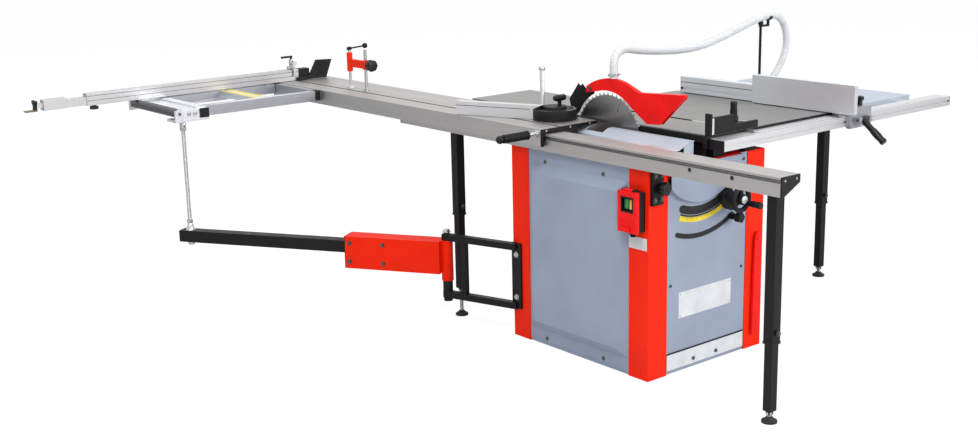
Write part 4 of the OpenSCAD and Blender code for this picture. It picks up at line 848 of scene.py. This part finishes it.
# Rip fence
def make_rip_fence():
    bm = bmesh.new()
    for x in (726, 766):
        add_knob(bm, mm(x, -437, 884), Z, 0.016, 0.024, 6)
    make("carrier_knobs", bm, black_gloss, "rip_slide_body")
    bm = bmesh.new()
    add_box(bm, mm(655, -446, 841), mm(671.5, -424, 844))
    add_box(bm, mm(640, -446, 841), mm(656, -444.5, 842.5))
    make("scale_pointer", bm, label_white, "rip_slide_body", bevel=0.0006)
    bm = bmesh.new()
    lever = Matrix.Translation(mm(728, -481, 826)) @ Matrix.Rotation(math.radians(38), 4, "X")
    add_lathe(bm, [(0, -0.002), (0.011, -0.002), (0.0135, 0.004), (0.0145, 0.03), (0.0125, 0.05),
                   (0.0145, 0.062), (0.012, 0.068), (0, 0.069)], lever @ facing(mm(0, -57, 0), -Y), 28)
    make("lever_grip", bm, black_gloss, "rip_handle")
    for name, y, turn in (("profile_cap_front", RIP_BAR_Y0, -1), ("profile_cap_rear", RIP_BAR_Y1, 1)):
        bm = bmesh.new()
        add_box(bm, mm(666, min(y, y + 3 * turn), 854), mm(702, max(y, y + 3 * turn), 919))
        make(name, bm, black_plastic, "rip_bar", bevel=0.0012)
    for name, y, turn in (("plate_cap_front", RIP_PLATE_Y0, -1), ("plate_cap_rear", RIP_PLATE_Y1, 1)):
        bm = bmesh.new()
        add_box(bm, mm(644, min(y, y + 3 * turn), 854), mm(663, max(y, y + 3 * turn), 964))
        make(name, bm, bright_alloy, "rip_face", bevel=0.0012)
    # A thin dark strip along the rip profile: painted shade of its groove.
    bm = bmesh.new()
    add_box(bm, mm(663.5, RIP_BAR_Y0, 896), mm(664.1, RIP_BAR_Y1, 898.5))
    make("profile_groove_shade", bm, dark_steel, "rip_bar")


make_rip_fence()


# Carriage and what stands on it
def make_carriage():
    for name, y, turn in (("carriage_cap_front", CARRIAGE_Y0, -1), ("carriage_cap_rear", CARRIAGE_Y1, 1)):
        y0, y1 = min(y, y + 6 * turn), max(y, y + 6 * turn)
        bm = bmesh.new()
        add_box(bm, mm(-345, y0, 834.5), mm(-165, y1, 849.5))
        add_box(bm, mm(-165, y0, 838.5), mm(-62, y1, 849.5))
        add_box(bm, mm(-230, y0, 818), mm(-165, y1, 834.5))
        add_box(bm, mm(-345, y0, 785), mm(-329.5, y1, 834.5))
        make(name, bm, black_plastic, "slider", bevel=0.0015)
        bm = bmesh.new()
        for x in (-320, -200, -100):
            add_screw(bm, mm(x, y + 6 * turn, 843), turn * Y, 0.004)
        make(name + "_screws", bm, steel, "slider")
    bm = bmesh.new()
    # Thin dark strips on the carriage's top: painted shade in its grooves.
    y0, y1 = CARRIAGE_Y0 + 6, CARRIAGE_Y1 - 6
    for x in (-257.6, -244.4):
        add_box(bm, mm(x - 0.5, y0, 849.9), mm(x + 0.5, y1, 850.25))
    for x in (-315, -290, -215, -190, -120, -95):
        add_box(bm, mm(x - 0.7, y0, 849.85), mm(x + 0.7, y1, 850.1))
    make("carriage_groove_shade", bm, dark_steel, "slider")
    bm = bmesh.new()
    add_lathe(bm, [(0, 0), (0.0165, 0), (0.0175, 0.002), (0.0175, 0.004), (0.0165, 0.006), (0, 0.006)],
              facing(mm(-391, 168, 833), -X), 28)
    make("handle_ring", bm, black_gloss, "slider")


def make_outrigger():
    bm = bmesh.new()
    for y0 in (1640, 1990):
        add_box(bm, mm(-374, y0 - 1, 804), mm(-346, y0 + 41, 848))
    add_box(bm, mm(-966, 1606, 803.5), mm(-924, 1612.5, 844))
    add_box(bm, mm(-966, 2057.5, 803.5), mm(-924, 2064, 844))
    make("outrigger_caps", bm, black_plastic, "slider", bevel=0.002)
    bm = bmesh.new()
    for x0, x1 in ((-663, -642), (-626, -605)):
        add_box(bm, mm(x0, 1681, 846.8), mm(x1, 1989, 847.4))
    make("slat_stripes", bm, yellow_print, "slider")
    bm = bmesh.new()
    for y, turn in ((1612, -1), (2058, 1)):
        outline = [(-0.02, -0.026), (0.02, -0.026)]
        outline += [(0.02 * math.cos(math.radians(a)), 0.006 + 0.02 * math.sin(math.radians(a)))
                    for a in range(0, 181, 15)]
        place = Matrix.Translation(mm(-1060, y, 826)) @ drawn_y(turn)
        add_prism(bm, outline, 0, 0.003, place)
    make("roller_plates", bm, label_white, "slider", bevel=0.001)
    bm = bmesh.new()
    for y, turn in ((1609, -1), (2061, 1)):
        add_bolt(bm, mm(-1016, y - 3 * turn, 826), turn * Y, 0.013)
        add_bolt(bm, mm(-988, y - 3 * turn, 826), turn * Y, 0.013)
    make("outrigger_bolts", bm, steel, "slider")


def make_crosscut():
    bm = bmesh.new()
    add_ticks(bm, mm(-1290, 1991, 904), mm(10, 0, 0), 104, mm(0.8, 4, 0.2), 5, mm(0.8, 7, 0.2))
    make("fence_scale", bm, black_plastic, "crosscut")
    # Two thin dark strips along the crosscut fence: painted shade of its grooves.
    bm = bmesh.new()
    for z in (FENCE_Z + 20, FENCE_Z + 40):
        add_box(bm, mm(-1300, 1989.6, z), mm(-242, 1990.2, z + 2))
    make("fence_groove_shade", bm, dark_steel, "crosscut")
    bm = bmesh.new()
    for k in range(4):
        x = -146 + 14 * k
        add_box(bm, mm(x, 1976, 866 + 8 * k), mm(x + 4, 1978.5, 930))
    make("shoe_ribs", bm, black_plastic, "crosscut", bevel=0.001)
    bm = bmesh.new()
    add_knob(bm, mm(-1262, 2010, FENCE_Z), -Z, 0.02, 0.02, 8)
    make("fence_knob", bm, black_gloss, "crosscut")


def make_clamp():
    bm = bmesh.new()
    add_knob(bm, mm(CLAMP[0], CLAMP[1] - 28, 967), -Y, 0.027, 0.034, 7)
    make("clamp_knob", bm, black_gloss, "clamp")
    bm = bmesh.new()
    add_thread(bm, mm(*PLUNGER, 866), mm(*PLUNGER, 893), 0.0067, 0.0025)
    make("plunger_thread", bm, steel, "plunger", smooth=60)


def make_miter():
    bm = bmesh.new()
    x, y = MITER
    for k in range(37):
        turn = Matrix.Translation(mm(x, y, 890.4)) @ Matrix.Rotation(math.radians(-90 + 5 * k), 4, "Z")
        long = 12 if k % 2 == 0 else 8
        add_box(bm, mm(82 - long, -0.5, -0.3), mm(82, 0.5, 0.2), turn)
    make("miter_scale", bm, label_white, "miter")
    # A thin dark strip along the miter fence: painted shade of its groove.
    bm = bmesh.new()
    along = Matrix.Translation(mm(x, y, 850.3)) @ Matrix.Rotation(math.radians(112), 4, "Z")
    add_box(bm, mm(84, 45.6, 37), mm(410, 46.2, 39.5), along)
    make("miter_groove_shade", bm, dark_steel, "miter")
    bm = bmesh.new()
    add_lathe(bm, [(0, 0), (0.008, 0), (0.0115, 0.006), (0.0125, 0.012), (0.0115, 0.03), (0.0125, 0.046),
                   (0.0115, 0.052), (0, 0.054)], facing(mm(x - 9, y - 8, 930.3), X), 28)
    make("miter_knob", bm, black_gloss, "miter")
    bm = bmesh.new()
    add_lathe(bm, [(0, 0), (0.012, 0), (0.013, 0.003), (0.013, 0.01), (0.011, 0.013), (0, 0.013)],
              facing(mm(x - 20, y + 48, 1035), Z), 28)
    make("miter_rod_cap", bm, steel, "miter")


def make_gauge():
    x, y = GAUGE
    bm = bmesh.new()
    turns = [math.radians(-20 + 220 * k / 40) for k in range(41)]
    outer = [(72.5 * MM * math.cos(t), 72.5 * MM * math.sin(t)) for t in turns]
    inner = [(60 * MM * math.cos(t), 60 * MM * math.sin(t)) for t in reversed(turns)]
    add_prism(bm, outer + inner, 0, 0.0012, Matrix.Translation(mm(x, y, 862.2)))
    make("gauge_rim", bm, bright_alloy, "gauge_top")
    bm = bmesh.new()
    for k in range(37):
        turn = Matrix.Translation(mm(x, y, 863.4)) @ Matrix.Rotation(math.radians(5 * k), 4, "Z")
        add_box(bm, mm(62, -0.4, -0.1), mm(71 if k % 2 == 0 else 67, 0.4, 0.2), turn)
    make("gauge_scale", bm, black_plastic, "gauge_top")
    bm = bmesh.new()
    add_box(bm, mm(x - 196, y - 33.2, 851), mm(x - 172, y - 29, 908))
    add_box(bm, mm(x - 196, y - 47.5, 851), mm(x - 172, y - 43.8, 908))
    make("gauge_plate", bm, bright_alloy, "gauge_top", bevel=0.001)
    bm = bmesh.new()
    add_lathe(bm, [(0, 0), (0.0105, 0), (0.0128, 0.003), (0.0135, 0.03), (0.0122, 0.05), (0.0132, 0.062),
                   (0.011, 0.068), (0, 0.069)], facing(mm(x, y + 12, 876), Z), 32)
    for k in range(4):
        add_lathe(bm, [(0.0128, 0), (0.0142, 0.001), (0.0142, 0.003), (0.0128, 0.004)],
                  facing(mm(x, y + 12, 884 + 9 * k), Z), 32)
    make("gauge_grip", bm, black_gloss, "gauge_top")
    bm = bmesh.new()
    for dx in (-150, -110, -80):
        add_bolt(bm, mm(x + dx, y - 33, 882), Y, 0.01)
    make("gauge_bolts", bm, steel, "gauge_top")


make_carriage()
make_outrigger()
make_crosscut()
make_clamp()
make_miter()
make_gauge()


# Hose
HOSE_D = 0.032
HOSE_BORE = 0.025
RIB_PITCH = 0.0085
RIB_DEPTH = 0.0013
HOSE_SIDES = 18
HOSE_ROUTE = [Vector(p) * MM for p in (
    (-45, 72, 1014), (-45, 72, 1052), (-40, 73, 1085), (-12, 81, 1108), (45, 97, 1114), (150, 127, 1097),
    (310, 172, 1077), (480, 220, 1062), (650, 268, 1058), (830, 320, 1071), (1030, 376, 1095),
    (1180, 417, 1114), (1305, 446, 1123), (1395, 460, 1110), (1455, 470, 1062), (1477, 474, 990),
    (1462, 478, 915), (1410, 484, 842), (1320, 490, 775), (1190, 495, 715), (1030, 500, 672),
    (850, 500, 642), (670, 496, 620), (500, 485, 600), (360, 470, 575), (260, 452, 532),
    (195, 438, 475), (160, 431, 415), (150, 430, 360), (150, 430, 298))]


def smooth_route(points, parts):
    """Points on the smooth curve through the route."""
    padded = [2 * points[0] - points[1], *points, 2 * points[-1] - points[-2]]
    curve = []
    for a, b, c, d in zip(padded, padded[1:], padded[2:], padded[3:]):
        for k in range(parts):
            t = k / parts
            curve.append(0.5 * (2 * b + (c - a) * t + (2 * a - 5 * b + 4 * c - d) * t ** 2
                                + (3 * b - a - 3 * c + d) * t ** 3))
    return [*curve, points[-1]]


def even_steps(curve, step):
    """Points at equal steps along a curve, from its first to its last point."""
    lengths = [0.0]
    for a, b in zip(curve, curve[1:]):
        lengths.append(lengths[-1] + (b - a).length)
    count = round(lengths[-1] / step)
    points, k = [], 0
    for i in range(count + 1):
        at = lengths[-1] * i / count
        while k < len(curve) - 2 and lengths[k + 1] < at:
            k += 1
        points.append(curve[k].lerp(curve[k + 1], (at - lengths[k]) / (lengths[k + 1] - lengths[k])))
    return points, lengths[-1]


def make_hose():
    path, length = even_steps(smooth_route(HOSE_ROUTE, 16), RIB_PITCH / 6)
    bm = bmesh.new()
    outer = spiral_rings(bm, path, HOSE_D / 2, RIB_DEPTH, 6, HOSE_SIDES, Y)
    inner = spiral_rings(bm, path[::3], HOSE_BORE / 2, 0, 6, HOSE_SIDES, Y)
    inner += spiral_rings(bm, path[-2:], HOSE_BORE / 2, 0, 6, HOSE_SIDES, Y)[1:]
    join_rings(bm, outer)
    join_rings(bm, inner)
    join_rings(bm, [outer[0], inner[0]])
    join_rings(bm, [outer[-1], inner[-1]])
    hose = make("dust_hose", bm, hose_vinyl, None, smooth=80, stands_for=("hose",))
    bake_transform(hose)


def make_hose_fittings():
    for name, at, axis, body in (("guard_hose_band", HOSE_ROUTE[0] + mm(0, 0, 8), Z, "guard"),
                                 ("outlet_hose_band", HOSE_ROUTE[-1] + mm(0, 0, 8), Z, "frame")):
        bm = bmesh.new()
        r = HOSE_D / 2
        add_lathe(bm, [(r - 0.001, 0), (r + 0.0012, 0), (r + 0.0012, 0.011), (r - 0.001, 0.011),
                       (r - 0.001, 0)], facing(at, axis), 32)
        add_box(bm, Vector((r, -0.007, 0.001)), Vector((r + 0.009, 0.007, 0.010)), facing(at, axis))
        add_rod(bm, at + Vector((r + 0.005, -0.012, 0.0055)), at + Vector((r + 0.005, 0.010, 0.0055)), 0.0035)
        make(name, bm, steel, body, bevel=0.0005)
    bm = bmesh.new()
    add_lathe(bm, [(0, 0), (0.009, 0), (0.012, 0.004), (0.0125, 0.014), (0.009, 0.022), (0, 0.024)],
              facing(mm(1255, 446, 1084), Z), 28)
    make("post_cap", bm, black_gloss, "frame")
    bm = bmesh.new()
    add_knob(bm, mm(1255, 410, 828), -Y, 0.016, 0.022, 5)
    make("post_knob", bm, black_gloss, "frame")


make_hose_fittings()
make_hose()


# Stage
def make_stage():
    bpy.ops.mesh.primitive_plane_add(size=60)
    floor = bpy.context.object
    floor.name = "floor"
    material = bpy.data.materials.new("floor")
    material.use_nodes = True
    tree = material.node_tree
    tree.nodes.clear()
    out = tree.nodes.new("ShaderNodeOutputMaterial")
    seen = tree.nodes.new("ShaderNodeLightPath")
    plain = tree.nodes.new("ShaderNodeBsdfDiffuse")
    plain.inputs["Color"].default_value = (0.8, 0.8, 0.8, 1)
    shade = tree.nodes.new("ShaderNodeBsdfDiffuse")
    shade.inputs["Color"].default_value = (0.2, 0.2, 0.2, 1)
    glow = tree.nodes.new("ShaderNodeEmission")
    glow.inputs["Strength"].default_value = 0.9
    white = tree.nodes.new("ShaderNodeAddShader")
    either = tree.nodes.new("ShaderNodeMixShader")
    tree.links.new(shade.outputs[0], white.inputs[0])
    tree.links.new(glow.outputs[0], white.inputs[1])
    tree.links.new(seen.outputs["Is Camera Ray"], either.inputs[0])
    tree.links.new(plain.outputs[0], either.inputs[1])
    tree.links.new(white.outputs[0], either.inputs[2])
    tree.links.new(either.outputs[0], out.inputs["Surface"])
    floor.data.materials.append(material)


AMBIENT = 0.42


def make_world():
    world = bpy.data.worlds.new("world")
    world.use_nodes = True
    tree = world.node_tree
    tree.nodes.clear()
    out = tree.nodes.new("ShaderNodeOutputWorld")
    seen = tree.nodes.new("ShaderNodeLightPath")
    dim = tree.nodes.new("ShaderNodeBackground")
    dim.inputs["Color"].default_value = (0.95, 0.97, 1, 1)
    dim.inputs["Strength"].default_value = AMBIENT
    bright = tree.nodes.new("ShaderNodeBackground")
    bright.inputs["Color"].default_value = (1, 1, 1, 1)
    either = tree.nodes.new("ShaderNodeMixShader")
    first = tree.nodes.new("ShaderNodeMath")
    first.operation = "MAXIMUM"
    second = tree.nodes.new("ShaderNodeMath")
    second.operation = "MAXIMUM"
    tree.links.new(seen.outputs["Is Camera Ray"], first.inputs[0])
    tree.links.new(seen.outputs["Is Glossy Ray"], first.inputs[1])
    tree.links.new(first.outputs[0], second.inputs[0])
    tree.links.new(seen.outputs["Is Transmission Ray"], second.inputs[1])
    tree.links.new(second.outputs[0], either.inputs[0])
    tree.links.new(dim.outputs[0], either.inputs[1])
    tree.links.new(bright.outputs[0], either.inputs[2])
    tree.links.new(either.outputs[0], out.inputs["Surface"])
    scene.world = world


def make_light(name, at, target, size, power):
    data = bpy.data.lights.new(name, "AREA")
    data.shape = "DISK"
    data.size = size
    data.energy = power
    light = bpy.data.objects.new(name, data)
    scene.collection.objects.link(light)
    light.matrix_world = facing(Vector(at), Vector(at) - Vector(target))


make_stage()
make_world()
make_light("key", (-3.6, -2.0, 5.2), (-0.2, 0.2, 0.4), 3.0, 175)
make_light("front", (2.0, -5.2, 2.6), (0.2, 0, 0.4), 3.0, 165)
make_light("top", (0, 1.0, 5.5), (0, 0.6, 0), 5.0, 110)

scene.view_settings.view_transform = "Standard"
